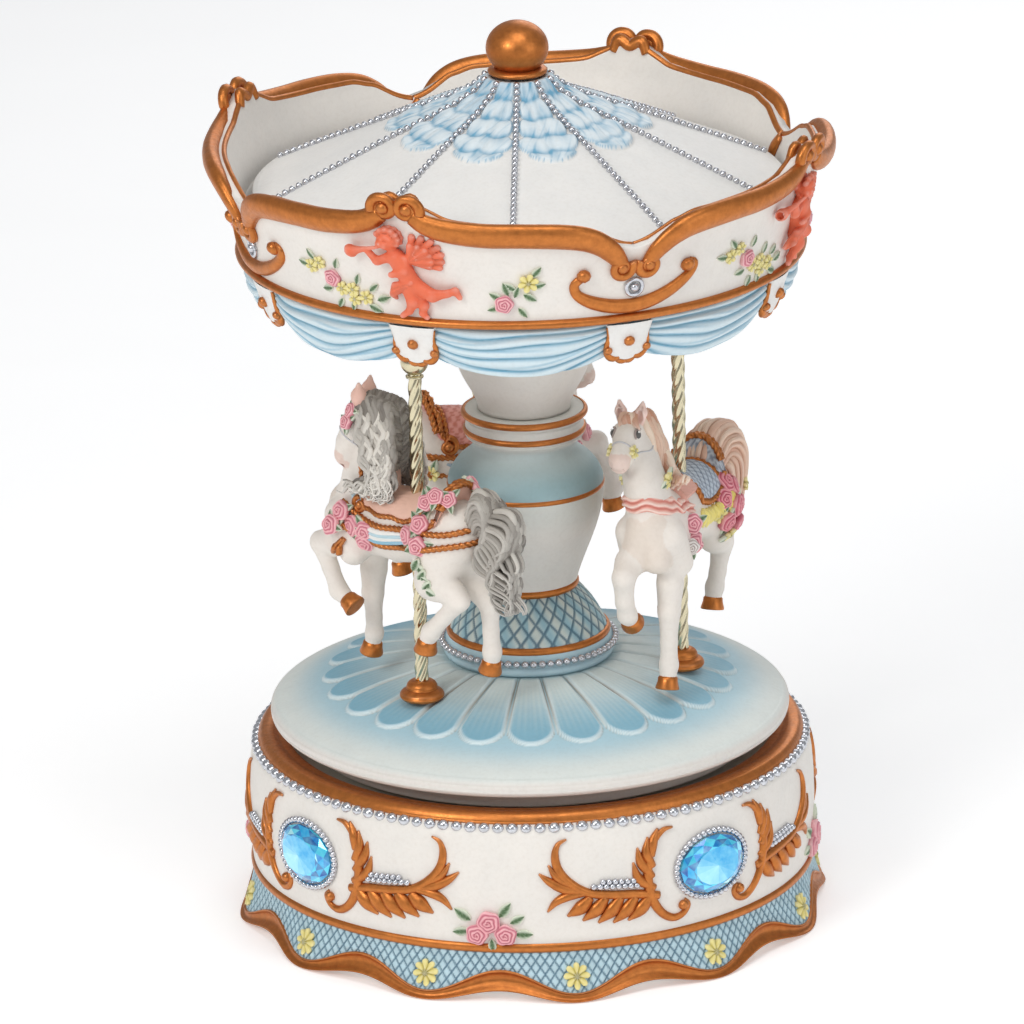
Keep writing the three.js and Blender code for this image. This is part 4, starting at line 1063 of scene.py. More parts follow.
RIBS = 10
RIB_PHASE = -2
LEAF_END = 36.0
VALLEY_ANGLE = 22
PEAK_STEP = 90
CROWN_LOW = 193
CROWN_THICKNESS = 3.6
BRACKET_ARC = 80.0
CHERUB_ARC = 82.0
RIM_ARC = 84.0
VALANCE_TOP = 192.6
SWAGS = 8
TAB_ANGLE = -23


def crown_radius(z, angle=0):
    """The crown's outer face leans out as it rises."""
    return np.interp(z, [190, 194, 196, 204, 212.5, 220, 232], [77.6, 77.8, 78.0, 79.2, 81.6, 84.0, 86.2])


def crown_lip(z, angle):
    """Just short of the crown's inner face, where the moulding's back edge runs."""
    return crown_radius(z) - 3.2


def roof():
    slope = [[9.2, 241.4], [12, 238.6], [16, 236], [22, 233.2], [30, 230], [36, 227.6], [50, 221.6]]
    slope += [[62, 216.5], [74, 211.2]]
    outline = np.vstack([[[72.5, 209.6]], curve(slope[::-1], 150), [[7.4, 242.2], [7.4, 238]]])
    gore = 180 / RIBS

    def leaf_shape(angle, radius):
        """Height share of the painted leaf in each gore, and the phase of its lobes."""
        offset = np.radians((angle - RIB_PHASE) % (2 * gore) - gore) * radius
        side = np.abs(offset)
        room = np.radians(gore) * radius
        number = np.floor((angle - RIB_PHASE) / (2 * gore))
        sway = 0.5 * np.sin(1.7 * number) + 0.35 * np.sin(offset * 0.9 + 2.3 * number)
        phase = (radius - 0.55 * side * smooth_step(8, 30, radius) + 0.2 * side**1.5 + sway) / 6.6
        lobe = np.abs(np.sin(np.pi * phase)) ** 0.45
        end = np.sqrt(np.clip(1 - ((radius - 28) / (LEAF_END - 27)) ** 2, 0, 1))
        bulge = np.where(radius < 28, 0.96, end)
        width = room * bulge * (0.76 + 0.24 * lobe)
        return smooth_step(0, 1.3, width - side) * (radius < LEAF_END + 1) * (radius > 9), phase, side, offset

    def shape(angle, radius, z):
        cover, phase, side, _ = leaf_shape(angle, radius)
        puff = np.abs(np.sin(np.pi * phase)) ** 0.7
        rise = cover * (0.5 + 0.75 * puff * smooth_step(0.2, 2.5, side) + 0.35 * np.exp(-((side / 0.8) ** 2)))
        seam = 0.25 * np.cos(np.radians((angle - RIB_PHASE) * RIBS)) * smooth_step(20, 60, radius)
        return radius, z + np.where(z > 212, rise + seam, 0)

    def paint(angle, radius, z):
        cover, phase, _, offset = leaf_shape(angle, radius)
        dip = 1 - np.abs(np.sin(np.pi * phase)) ** 0.7
        hair = np.sin(offset * 2.3 + radius * 0.9 + 2.6 * np.sin(radius * 0.5 + offset * 0.4))
        patch = 0.5 + 0.5 * np.sin(angle * 0.31 + radius * 0.45) * np.sin(offset * 0.8 - radius * 0.35 + 1.0)
        wash_and_shade = 0.55 * smooth_step(0.25, 0.9, dip) + 0.4 * smooth_step(0.3, 1, hair) * patch + 0.45 * patch**2
        brush = np.clip(wash_and_shade + 0.3 * smooth_step(18, 10, radius), 0, 1)
        rim = smooth_step(0.05, 0.35, cover) * smooth_step(1.0, 0.6, cover)
        brush = np.maximum(brush, 0.75 * rim * (radius > 16))
        blue = mixed(srgb(226, 236, 240), srgb(108, 166, 196), brush)
        return mixed(WHITE * 0.97, blue, smooth_step(0.02, 0.5, cover))

    piece = Clay()
    revolve(piece, outline, paint, 640, shape, over=False)
    under = np.array([[7.4, 238.6], [30, 226.4], [62, 212.6], [72.5, 209.6]])
    revolve(piece, under, WHITE * 0.9, 720, over=False)
    make("roof_leaves", piece, PAINTED, "turntable", "cream_resin", ["canopy_roof"])

    strands = Clay()
    path = curve([[r, z + 0.75] for r, z in slope], 400)
    run = np.concatenate([[0], np.cumsum(np.linalg.norm(np.diff(path, axis=0), axis=1))])
    for rib in range(RIBS):
        for number, at in enumerate(np.arange(0.6, run[-1] - 2, 2.12)):
            radius, z = (np.interp(at, run, path[:, k]) for k in range(2))
            swell = 1 + 0.06 * math.sin(number * 1.9 + rib)
            place = polar(RIB_PHASE + 360 / RIBS * rib, radius, z)
            ball(strands, place, 0.98 * swell, SILVER, rows=6, columns=9)
    make("roof_pearls", strands, BEADS, "turntable", "silver_beads")


def rim_height(angle):
    """The crown's top edge, from the valleys to the peaks a quarter turn apart."""
    away = np.abs((angle - VALLEY_ANGLE + 45) % PEAK_STEP - 45)
    heights = [213, 214, 218, 220, 220.6, 221, 222.4, 225.6, 228]
    return np.interp(away, [0, 3, 8, 13, 22, 30, 36.6, 41, 45], heights)


def crown():
    v, angle = band_grid(26, 720)
    z = CROWN_LOW + (rim_height(angle) + 2.2 - CROWN_LOW) * v
    outer = polar(angle, crown_radius(z), z)
    low = np.maximum(z, 207)
    inner = polar(angle, crown_radius(low) - CROWN_THICKNESS, low)[::-1]
    shade = mixed(CREAM * 0.86, CREAM, smooth_step(194.5, 198, z))
    piece = Clay()
    band(piece, [outer, inner], np.concatenate([shade, np.broadcast_to(CREAM * 0.97, inner.shape)]))
    make("crown_panel", piece, PAINTED, "turntable", "cream_resin", ["canopy_crown"])


def moulding_half(clay, valley, hand):
    """Half of the scrolled rim: from a peak's volute along the rim to the curl in the valley."""
    at = wrapped(valley, crown_radius, RIM_ARC)
    arc = np.radians(RIM_ARC)

    def flat(points):
        return [(hand * a * arc, z, r) for a, z, r in points]

    run = [(42.0, 226.0, 2.3), (39.4, 223.9, 3.0), (35.5, 222.4, 3.4), (29, 221.4, 3.6), (22, 221.2, 3.6),
           (15, 220.6, 3.7), (10.4, 219.4, 3.6), (7.2, 217.2, 3.3), (4.9, 214.4, 2.9), (3.4, 211.8, 2.4),
           (2.4, 209.8, 1.8)]
    stroke(clay, shifted(at, 0, 0, out=0.5), flat(run), flat=0.72, sides=20)
    groove = [
        (40.4, 222.6, 0.5), (35.5, 220.0, 0.6), (22, 218.4, 0.65), (10.4, 216.8, 0.6),
        (6.2, 213.8, 0.5), (4.6, 211.2, 0.4)
    ]
    stroke(clay, shifted(at, 0, 0, out=0.7), flat(groove), flat=1.0, sides=8)
    proud = shifted(at, 0, 0, out=0.8)
    volute(clay, proud, (hand * 42.7 * arc, 228.0), 3.7, 200 if hand > 0 else -20, 1.5, -hand)
    volute(clay, proud, (hand * 2.75 * arc, 209.4), 3.3, 150 if hand > 0 else 30, 1.5, hand)
    back = wrapped(valley, crown_lip, RIM_ARC)
    lip = [
        (a, rim_height(valley + a) + 2.0, 0.8)
        for a in (44.8, 42, 39, 36, 32, 27, 22, 17, 13, 10, 8, 6, 4, 2, 0.2)
    ]
    stroke(clay, back, flat(lip), flat=0.9, sides=12)


def crown_trim():
    """The copper scroll rim, its peaks and curls, and the bracket, button and tongue in each valley."""
    trim, buttons = Clay(), Clay()
    arc = np.radians(BRACKET_ARC)
    for quarter in range(4):
        valley = VALLEY_ANGLE + PEAK_STEP * quarter
        for hand in (1, -1):
            moulding_half(trim, valley, hand)
        at = wrapped(valley, crown_radius, BRACKET_ARC)
        bracket = [(-10.6, 207.2, 1.3), (-11.9, 205.2, 1.35), (-11.2, 202.2, 1.5), (-8.2, 199.7, 1.9),
                   (-3.8, 198.0, 2.1), (1.0, 197.7, 2.1), (5.4, 198.9, 2.0), (9.6, 201.4, 1.8),
                   (12.8, 204.6, 1.5), (13.4, 207.2, 1.2), (12.0, 208.2, 1.1)]
        stroke(trim, at, [(a * arc, z, r) for a, z, r in bracket], flat=0.8, sides=12)
        for a, z in ((-10.2, 208.0), (11.6, 207.2)):
            bead(trim, at, a * arc, z, 2.0, paint=COPPER, squash=1.0, out=0.7)
        ring = Clay()
        turn = np.linspace(0, 2 * np.pi, 25)
        circle = np.stack([0.4 + 2.35 * np.cos(turn), 203.0 + 2.35 * np.sin(turn), 0.45 + 0 * turn], -1)
        sweep(ring, circle, 0.62, SILVER, sides=8, up=(0, 0, 1), ends=False)
        buttons.take(ring, at)
        bead(buttons, at, 0.4, 203.0, 1.35, squash=1.0, out=0.5)
        peak = wrapped(valley + PEAK_STEP / 2, crown_lip, RIM_ARC)
        knot = [(-5.2, 226.8, 1.4), (-3.4, 230.2, 1.6), (0, 228.6, 1.7), (3.4, 230.2, 1.6), (5.2, 226.8, 1.4)]
        stroke(trim, peak, knot, flat=0.9)
        inside = wrapped(valley, lambda z, a: crown_radius(z) - 4.4, RIM_ARC)
        tongue = [(-1.6, 214.8, 1.4), (0.4, 211.6, 1.9), (1.6, 207.4, 1.5), (2.6, 204.6, 0.4)]
        stroke(trim, inside, tongue, flat=0.6)
    turn = np.radians(np.linspace(-105, 105, 13))
    low_ring = np.stack([77.3 + 2.0 * np.cos(turn), 194.2 + 1.35 * np.sin(turn)], -1)
    revolve(trim, low_ring, COPPER, 360)
    make("crown_moulding", trim, GILT, "turntable", "copper_paint", ["canopy_crown"])
    make("crown_buttons", buttons, BEADS, "turntable", "silver_beads")


def valance():
    """Eight swags of draped cloth between shield-shaped tabs."""
    w, angle = band_grid(48, 960)
    step = 360 / SWAGS
    u = ((angle - TAB_ANGLE) % step) / step * 2 - 1
    sag = 1 - u**2
    bottom = 184.8 - 7.0 * sag**0.8
    z = VALANCE_TOP + (bottom - VALANCE_TOP) * w
    level = np.clip((VALANCE_TOP - z) / (3.0 + 12.2 * sag**0.8), 0, 1.2)
    number = np.floor((angle - TAB_ANGLE) % 360 / step)
    drift = 0.35 * np.sin(2.3 * u + 1.7 * number) + 0.16 * np.sin(6.1 * u + 2.9 * number + 4 * level)
    phase = 4.6 * level**0.85 + drift * smooth_step(0, 0.3, level)
    crease = np.abs(np.sin(np.pi * phase)) ** 0.8
    fold = phase % 1
    plump = 1.9 * np.sin(np.pi * np.clip(w, 0, 1) ** 0.8) * sag**0.5
    pinch = smooth_step(0.0, 0.16, 1 - np.abs(u))
    radius = 74.2 - 3.0 * w**1.6 + plump * 1.15 + (1.25 * crease * (0.3 + 0.7 * sag)) * pinch
    fine = np.sin(phase * 9.4 + 2.2 * np.sin(3.1 * u + 1.9 * np.floor(phase) + number))
    dry = 0.5 + 0.5 * np.sin(5.3 * u + 3.7 * np.floor(phase) + 2.1 * number + 2.6 * fold)
    # Blue brush streaks, with painted shade: deeper blue in the fold valleys and towards the swag ends.
    blue_streaks_and_fold_shade = smooth_step(0.1, 0.9, 1 - crease) * 0.75
    blue_streaks_and_fold_shade = blue_streaks_and_fold_shade + 0.5 * smooth_step(0.2, 1.0, fine) * dry + 0.3 * np.abs(u) ** 3
    blue = mixed(srgb(214, 230, 236), srgb(112, 172, 200), np.clip(blue_streaks_and_fold_shade, 0, 1))
    outer = polar(angle, radius, z)
    inner = polar(angle, radius - 2.4, z + 0.3)
    piece = Clay()
    band(piece, [outer[::-1], inner], np.concatenate([blue[::-1], mixed(blue, CREAM, 0.8 + 0 * w * u)]))
    make("valance_swags", piece, PAINTED, "turntable", "blue_resin", ["canopy_valance"])

    shields, edges = Clay(), Clay()
    for k in range(SWAGS):
        at = wrapped(TAB_ANGLE + step * k, lambda z, a: 76.6 - 0.33 * (192 - z), 75.0)
        rows, columns = 12, 15
        v = np.linspace(0, 1, rows)[:, None]
        u = np.linspace(-1, 1, columns)[None, :]
        half = np.interp(v, [0, 0.35, 0.7, 0.9, 1], [6.4, 5.6, 5.9, 4.9, 2.8])
        x = u * half
        y = 192.4 - 11.2 * v + 0.8 * u**2 * (v > 0.8) + 0 * u
        h = 0.9 + 0.5 * (1 - u**2) * (1 - v * 0.4)
        face = np.stack([x, y, h], -1)
        back = np.stack([x, y + 0 * u, h * 0 - 2.0], -1)
        slab(shields, at, face[::-1], back[::-1], WHITE * 0.97)
        for hand in (1, -1):
            rim = [(6.0, 191.6, 0.6), (5.4, 188.6, 0.75), (5.8, 185.6, 0.9), (5.5, 183.2, 1.0)]
            rim += [(3.9, 181.7, 1.15), (2.0, 182.2, 1.0)]
            stroke(edges, at, [(hand * x, z, r) for x, z, r in rim], flat=1.0)
            tip = [(hand * 2.4, 181.2, 0.8), (hand * 1.2, 180.6, 1.0), (0, 180.9, 1.1)]
            stroke(edges, at, tip, flat=1.0, count=8)
            bead(edges, at, hand * 5.6, 184.4, 1.25, paint=COPPER, squash=1.0, out=1.0)
        bead(edges, at, 0, 187.0, 1.55, paint=COPPER, squash=1.0, out=1.5)
    make("valance_tabs", shields, PAINTED, "turntable", "cream_resin")
    make("valance_tab_edges", edges, GILT, "turntable", "copper_paint")


def finial():
    low, high = box_mm("finial")
    turn = np.radians(np.linspace(-70, 88, 26))
    centre = high[2] - 7.6
    ball_outline = np.stack([8.7 * np.cos(turn), centre + 7.6 * np.sin(turn)], -1)
    steps = [[7.0, 0], [8.1, 0.3], [8.3, 1.0], [7.6, 1.6], [6.2, 1.9]]
    collar = [[radius, low[2] + rise] for radius, rise in steps]
    neck = [[5.0, low[2] + 2.1]] if ball_outline[0, 0] > 5 else []
    outline = np.vstack([collar + neck, ball_outline, [[0.02, high[2]], [0.02, low[2]]]])
    piece = Clay()
    revolve(piece, outline, COPPER, 72)
    make("finial_ball", piece, GILT, "turntable", "copper_paint", ["finial"])


def crown_flowers():
    flowers = Clay()
    for quarter in range(4):
        at = wrapped(VALLEY_ANGLE + PEAK_STEP * quarter - 24, crown_radius, DRUM_ARC)
        leaves = [(-2.6, 201.6, 60, 4.2), (-1.0, 203.0, 20, 4.2), (-3.4, 199.6, 105, 3.6),
                  (1.0, 204.6, 60, 4.0), (5.4, 208.6, -40, 3.8), (3.0, 203.4, -120, 4.2),
                  (1.6, 199.4, -140, 3.8), (5.6, 205.4, -75, 3.6), (0.6, 202.4, -20, 3.6)]
        bouquet(flowers, at, [(-2.2, 200.6, 2.6)], leaves, [(4.4, 206.8, 2.9)])
        at = wrapped(VALLEY_ANGLE + PEAK_STEP * quarter + 45, crown_radius, DRUM_ARC)
        stems = [(-32.0, 205.8, 80, 3.8), (-29.0, 208.0, 40, 3.6), (-25.4, 205.0, -100, 3.8),
                 (-22.0, 206.6, -20, 3.4), (-24.0, 200.4, 100, 3.8), (-20.8, 198.0, 150, 3.6),
                 (-12.0, 197.4, -110, 4.4), (-9.2, 199.2, -70, 4.4), (-15.6, 203.0, -20, 3.4),
                 (-11.4, 201.6, -50, 3.6), (-17.0, 197.8, 170, 3.2)]
        blooms = [(-30.6, 205.8, 2.2), (-27.2, 207.4, 2.0), (-20.4, 201.0, 2.2), (-16.8, 201.4, 2.1),
                  (-16.4, 198.6, 2.1), (-12.6, 199.6, 2.2)]
        bouquet(flowers, at, [(-23.4, 203.6, 2.5)], stems, blooms)
    make("crown_bouquets", flowers, PAINTED, "turntable", "cream_resin")


roof()
crown()
crown_trim()
valance()
finial()
crown_flowers()


# Figures: limbs blended on a grid of distances, then skinned


class Form:
    """Round limbs smoothly joined in a box of distances, and the skin over them."""

    def __init__(self, low, high, step):
        self.low, self.step = np.asarray(low, float), step
        self.size = np.ceil((np.asarray(high) - self.low) / step).astype(int) + 1
        self.field = np.full(self.size, 6.0)
        self.limbs = []

    @staticmethod
    def distance(points, limb):
        a, b, ra, rb, squeeze = limb[:5]
        a, b = a * squeeze, b * squeeze
        axis = b - a
        off = points * squeeze - a
        t = np.clip(off @ axis / (axis @ axis + 1e-9), 0, 1)
        gap = np.linalg.norm(off - t[..., None] * axis, axis=-1) - (ra + (rb - ra) * t)
        return gap / max(squeeze)

    def limb(self, a, b, ra, rb, paint, blend=1.2, squeeze=(1, 1, 1), cut=False):
        """A tapering limb from a to b. squeeze above 1 thins it along x, y or z; cut takes it away."""
        a, b, squeeze = (np.asarray(v, float) for v in (a, b, squeeze))
        limb = (a, b, ra, rb, squeeze, np.asarray(paint, float), cut)
        reach = max(ra, rb) + blend + 2 * self.step
        first = np.maximum(((np.minimum(a, b) - reach - self.low) / self.step).astype(int), 0)
        last = np.minimum(((np.maximum(a, b) + reach - self.low) / self.step).astype(int) + 2, self.size)
        if (last <= first).any():
            return
        box = tuple(slice(f, e) for f, e in zip(first, last))
        axes = [self.low[k] + self.step * np.arange(first[k], last[k]) for k in range(3)]
        gap = self.distance(np.stack(np.meshgrid(*axes, indexing="ij"), -1), limb)
        here = self.field[box]
        if cut:
            gap = -gap
            share = np.clip(0.5 - 0.5 * (here - gap) / blend, 0, 1)
            self.field[box] = here + (gap - here) * share + blend * share * (1 - share)
        else:
            share = np.clip(0.5 + 0.5 * (gap - here) / blend, 0, 1)
            self.field[box] = gap + (here - gap) * share - blend * share * (1 - share)
        self.limbs.append(limb)

    def chain(self, joints, paint, blend=1.2, squeeze=(1, 1, 1)):
        """Limbs through (x, y, z, radius) joints."""
        joints = np.asarray(joints, float)
        for a, b in zip(joints[:-1], joints[1:]):
            self.limb(a[:3], b[:3], a[3], b[3], paint, blend, squeeze)

    def sample(self, points):
        """The distance at any points, between grid values."""
        at = np.clip((np.asarray(points) - self.low) / self.step, 0, self.size - 1.001)
        i = at.astype(int)
        f = at - i
        value = 0
        for corner in np.ndindex(2, 2, 2):
            weight = np.prod(np.where(corner, f, 1 - f), axis=-1)
            value = value + weight * self.field[tuple((i + corner)[..., k] for k in range(3))]
        return value

    def skin(self, origins, directions, lift=0.0):
        """Where rays from inside meet the surface, moved out by lift."""
        origins = np.asarray(origins, float).reshape(-1, 3)
        directions = np.asarray(directions, float).reshape(-1, 3)
        directions = directions / np.linalg.norm(directions, axis=1, keepdims=True)
        reach = np.arange(0, 24, 0.2)
        rays = origins[:, None] + directions[:, None] * reach[:, None]
        outside = self.sample(rays) > 0
        inside_last = np.where(outside, 0, np.arange(len(reach))).max(1)
        return origins + directions * (reach[inside_last][:, None] + lift)

    def surface(self, clay, move):
        """Adds the skin to a piece, each point painted as its nearest limb."""
        field = self.field
        inside = field < 0
        cells = np.array(self.size) - 1
        total, hits = np.zeros((*cells, 3)), np.zeros(cells)
        for axis in range(3):
            others = [k for k in range(3) if k != axis]
            for shift in np.ndindex(2, 2):
                start = np.zeros(3, int)
                start[others] = shift
                end = start.copy()
                end[axis] += 1
                a, b = (tuple(slice(s, s + n) for s, n in zip(corner, cells)) for corner in (start, end))
                crossed = inside[a] != inside[b]
                share = np.where(crossed, field[a] / np.where(crossed, field[a] - field[b], 1), 0)
                hits += crossed
                for k in range(3):
                    total[..., k] += crossed * (start[k] + (share if k == axis else 0))
        active = hits > 0
        index = np.full(cells, -1)
        index[active] = np.arange(active.sum())
        corner = np.stack(np.nonzero(active), -1)
        points = self.low + self.step * (corner + total[active] / hits[active][:, None])
        faces = []
        for axis in range(3):
            u, v = (axis + 1) % 3, (axis + 2) % 3
            one, two = [slice(None)] * 3, [slice(None)] * 3
            one[axis], two[axis] = slice(0, -1), slice(1, None)
            a, b = inside[tuple(one)], inside[tuple(two)]
            place = np.stack(np.nonzero(a != b), -1)
            at_edge = (place[:, axis] == 0) & (place[:, u] > 0) & (place[:, v] > 0)
            place = place[((place > 0) & (place < cells)).all(1) | at_edge]
            quad = []
            for du, dv in ((1, 1), (0, 1), (0, 0), (1, 0)):
                cell = place.copy()
                cell[:, u] -= du
                cell[:, v] -= dv
                quad.append(index[tuple(cell.T)])
            quad = np.stack(quad, -1)
            out = a[tuple(place.T)]
            faces.append(np.where(out[:, None], quad, quad[:, ::-1]))
        faces = np.concatenate(faces)
        faces = faces[(faces >= 0).all(1)]
        nearest, colours = np.full(len(points), 1e9), np.zeros((len(points), 3))
        for limb in self.limbs:
            gap = np.abs(self.distance(points, limb)) if limb[6] else self.distance(points, limb)
            mine = gap < nearest
            nearest[mine] = gap[mine]
            colours[mine] = limb[5]
        clay.add(move(points), [faces], colours)


def lock(clay, move, points, radius, tone, sides=7, wave=0.0, phase=0.0, length=7.0):
    """One lock of hair through points, wavy, tapering to its ends."""
    path = curve(points, max(14, int(np.linalg.norm(np.diff(points, axis=0), axis=1).sum() / 0.75)))
    run = np.linspace(0, 1, len(path))
    reach = np.linalg.norm(np.diff(path, axis=0), axis=1).sum()
    swing = wave * np.sin(2 * np.pi * run * reach / length + phase) * np.minimum(1, 3 * run)
    tangent = np.gradient(path, axis=0)
    path = path + unit_rows(np.cross(tangent, (0, 1, 0))) * swing[:, None]
    girth = radius * (0.55 + 0.45 * np.sin(np.pi * run**0.8)) * (1 - 0.6 * run**3)
    part = Clay()
    sweep(part, path, girth, tone, sides=sides, flat=0.85, ridges=2, depth=0.12)
    clay.take(part, move)


def hair_tones(pale, dark, seed):
    """A run of hair colours between dark and pale."""
    draw = np.random.default_rng(seed)
    while True:
        yield mixed(dark, pale, draw.random() ** 0.8)


EAR_PINK = srgb(236, 160, 158)
HORSE_WHITE = srgb(236, 228, 219)
BRIDLE_GREY = srgb(168, 168, 176)
HORSE_BACK = 131.4
TORSO = [(20.5, 0, 119.8, 9.5), (6, 0, 121.4, 9.6), (-8, 0, 122.8, 9.4), (-14.5, 0, 123.4, 10.0)]
# Joints are (forward, left, up, radius) round the pole; the standing legs end above their hoofs.
HORSES = {
    "left": {
        "yaw": 0,
        "torso": TORSO,
        "neck": [(21.5, 0, 124, 8.6), (18.0, 0, 134, 7.2), (14.0, 0.3, 143.5, 6.2),
                 (13.9, 0.6, 150.6, 5.5)],
        "head": [(15.4, 1.4, 152.8, 4.9), (19.8, 2.6, 148.2, 4.5), (22.4, 3.6, 142.8, 3.5),
                 (23.0, 3.8, 140.0, 3.2)],
        "fore_left": [(21, 4.6, 116, 5.6), (27, 5.4, 113.6, 4.1), (31.8, 5.6, 112.4, 3.2),
                      (28.6, 5.6, 105.4, 2.3), (25.8, 5.5, 99.4, 2.6), (22.8, 5.4, 97.6, 2.3)],
        "fore_right": [(21, -4.6, 114, 5.6), (22, -4.8, 104, 3.8), (22.6, -4.8, 96.6, 3.0),
                       (22.4, -4.8, 89.5, 2.2), (22.4, -4.8, 84.8, 2.5), (23.0, -4.8, 82.2, 2.3)],
        "hind_left": [(-12, 4.8, 118, 8.2), (-11.6, 5.6, 110.6, 6.0), (-18.0, 5.5, 108.0, 3.5),
                      (-20.2, 5.5, 106.4, 2.9), (-14.0, 5.4, 100.0, 2.2), (-9.2, 5.4, 95.0, 2.6),
                      (-7.6, 5.4, 92.2, 2.3)],
        "hind_right": [(-15, -4.8, 118, 8.2), (-14, -5.4, 110, 5.8), (-20, -5.4, 104.8, 3.5),
                       (-21.4, -5.4, 103, 2.9), (-21.7, -5.4, 95, 2.2), (-22.0, -5.4, 89, 2.6),
                       (-21.8, -5.4, 86.4, 2.3)],
        "ears": (1.25, srgb(232, 188, 172)),
        "hair": (srgb(228, 222, 212), srgb(104, 96, 88)),
        "saddle": srgb(240, 196, 176),
        "lift": 0,
    },
    "right": {
        "yaw": -8,
        "torso": [(20, 0, 119.0, 10.0), (6, 0, 118.4, 10.4), (-8, 0, 118.2, 9.8), (-15, 0, 118.0, 10.2)],
        "neck": [(21.5, -0.5, 122, 8.4), (21.4, -2.2, 131, 7.0), (19.6, -4.8, 139, 5.9),
                 (18.4, -6.2, 145.0, 5.0)],
        "head": [(19.4, -6.8, 146.8, 4.8), (24.0, -6.5, 145.2, 4.5), (28.2, -6.4, 142.8, 3.5),
                 (30.2, -6.4, 141.8, 3.2)],
        "fore_left": [(20, 4.6, 113, 5.6), (21.6, 4.6, 104, 3.9), (22.2, 4.4, 96, 3.1),
                      (22.2, 4.2, 87, 2.3), (22.2, 4.1, 80.2, 2.6), (22.8, 4.0, 77.0, 2.4)],
        "fore_right": [(22, -4.4, 114, 5.6), (29.0, -4.6, 111.4, 4.2), (34.8, -4.2, 109.0, 3.2),
                       (33.4, -4.6, 101.6, 2.5), (31.4, -4.6, 97.0, 2.7), (29.6, -4.6, 95.4, 2.4)],
        "hind_left": [(-14, 4.8, 114, 8.0), (-14.4, 5.2, 107, 5.5), (-20.6, 4.6, 102.6, 3.6),
                      (-22.0, 4.2, 100.6, 3.0), (-21.6, 3.2, 93, 2.3), (-21.2, 2.4, 88.6, 2.6),
                      (-20.9, 2.0, 85.8, 2.4)],
        "hind_right": [(-12, -4.6, 114, 8.0), (-6.5, -4.8, 107, 5.5), (-12.0, -4.4, 103.0, 3.6),
                       (-13.6, -4.2, 101.4, 3.0), (-6.4, -3.8, 97.0, 2.3), (-1.6, -3.6, 94.2, 2.6),
                       (-0.2, -3.5, 92.2, 2.4)],
        "ears": (0.95, srgb(246, 212, 200)),
        "hair": (srgb(248, 226, 204), srgb(206, 142, 110)),
        "saddle": srgb(240, 172, 156),
        "lift": -3.2,
    },
    "back": {
        "yaw": 0,
        "torso": TORSO,
        "neck": [(21.5, 0, 124, 8.6), (21.0, 0, 133, 7.2), (20.0, -0.3, 141, 6.1),
                 (19.0, -0.6, 147.8, 5.3)],
        "head": [(20.8, -0.8, 149.4, 4.9), (25.6, -1.0, 146.2, 4.5), (29.6, -1.2, 141.8, 3.4),
                 (30.6, -1.3, 139.4, 3.2)],
        "fore_left": [(21, 4.6, 114, 5.6), (21.4, 4.8, 104, 3.8), (21.4, 4.8, 96.6, 3.0),
                      (21.2, 4.8, 90, 2.2), (21.2, 4.8, 86.0, 2.5), (21.8, 4.8, 83.4, 2.3)],
        "fore_right": [(23, -4.6, 116, 5.6), (28.4, -5.4, 119.6, 4.0), (33.0, -5.6, 120.0, 3.2),
                       (36.8, -5.6, 111.6, 2.4), (38.2, -5.6, 106.0, 2.7), (37.2, -5.6, 103.2, 2.4)],
        "hind_left": [(-12, 4.8, 118, 8.2), (-8.0, 5.6, 110.0, 5.8), (-14.0, 5.4, 104.8, 3.6),
                      (-15.6, 5.2, 103.0, 3.0), (-9, 5.2, 96.8, 2.3), (-4.4, 5.2, 93.0, 2.6),
                      (-3.2, 5.2, 90.6, 2.3)],
        "hind_right": [(-15, -4.8, 118, 8.2), (-15.6, -5.4, 110.6, 5.8), (-22.8, -5.4, 106.0, 3.5),
                       (-24.4, -5.4, 104.4, 2.9), (-25.0, -5.4, 98, 2.2), (-25.6, -5.4, 93.8, 2.6),
                       (-25.8, -5.4, 91.4, 2.3)],
        "ears": (1.0, HORSE_WHITE),
        "hair": (srgb(248, 232, 208), srgb(190, 146, 102)),
        "saddle": srgb(238, 160, 152),
        "lift": 0,
    },
}
LEGS = ("fore_left", "fore_right", "hind_left", "hind_right")


def unit(vector):
    return np.asarray(vector, float) / np.linalg.norm(vector)


class Head:
    """Where the head is and which ways it points."""

    def __init__(self, joints):
        self.at = [np.array(joint[:3]) for joint in joints]
        self.radii = [joint[3] for joint in joints]
        self.way = unit(self.at[-1] - self.at[0])
        self.side = unit(np.cross((0, 0, 1), self.way))
        self.brow = unit(np.cross(self.way, self.side))

    def spot(self, along, side=0.0, brow=0.0):
        """A point on the head's own axes, in mm from the poll."""
        return self.at[0] + self.way * along + self.side * side + self.brow * brow


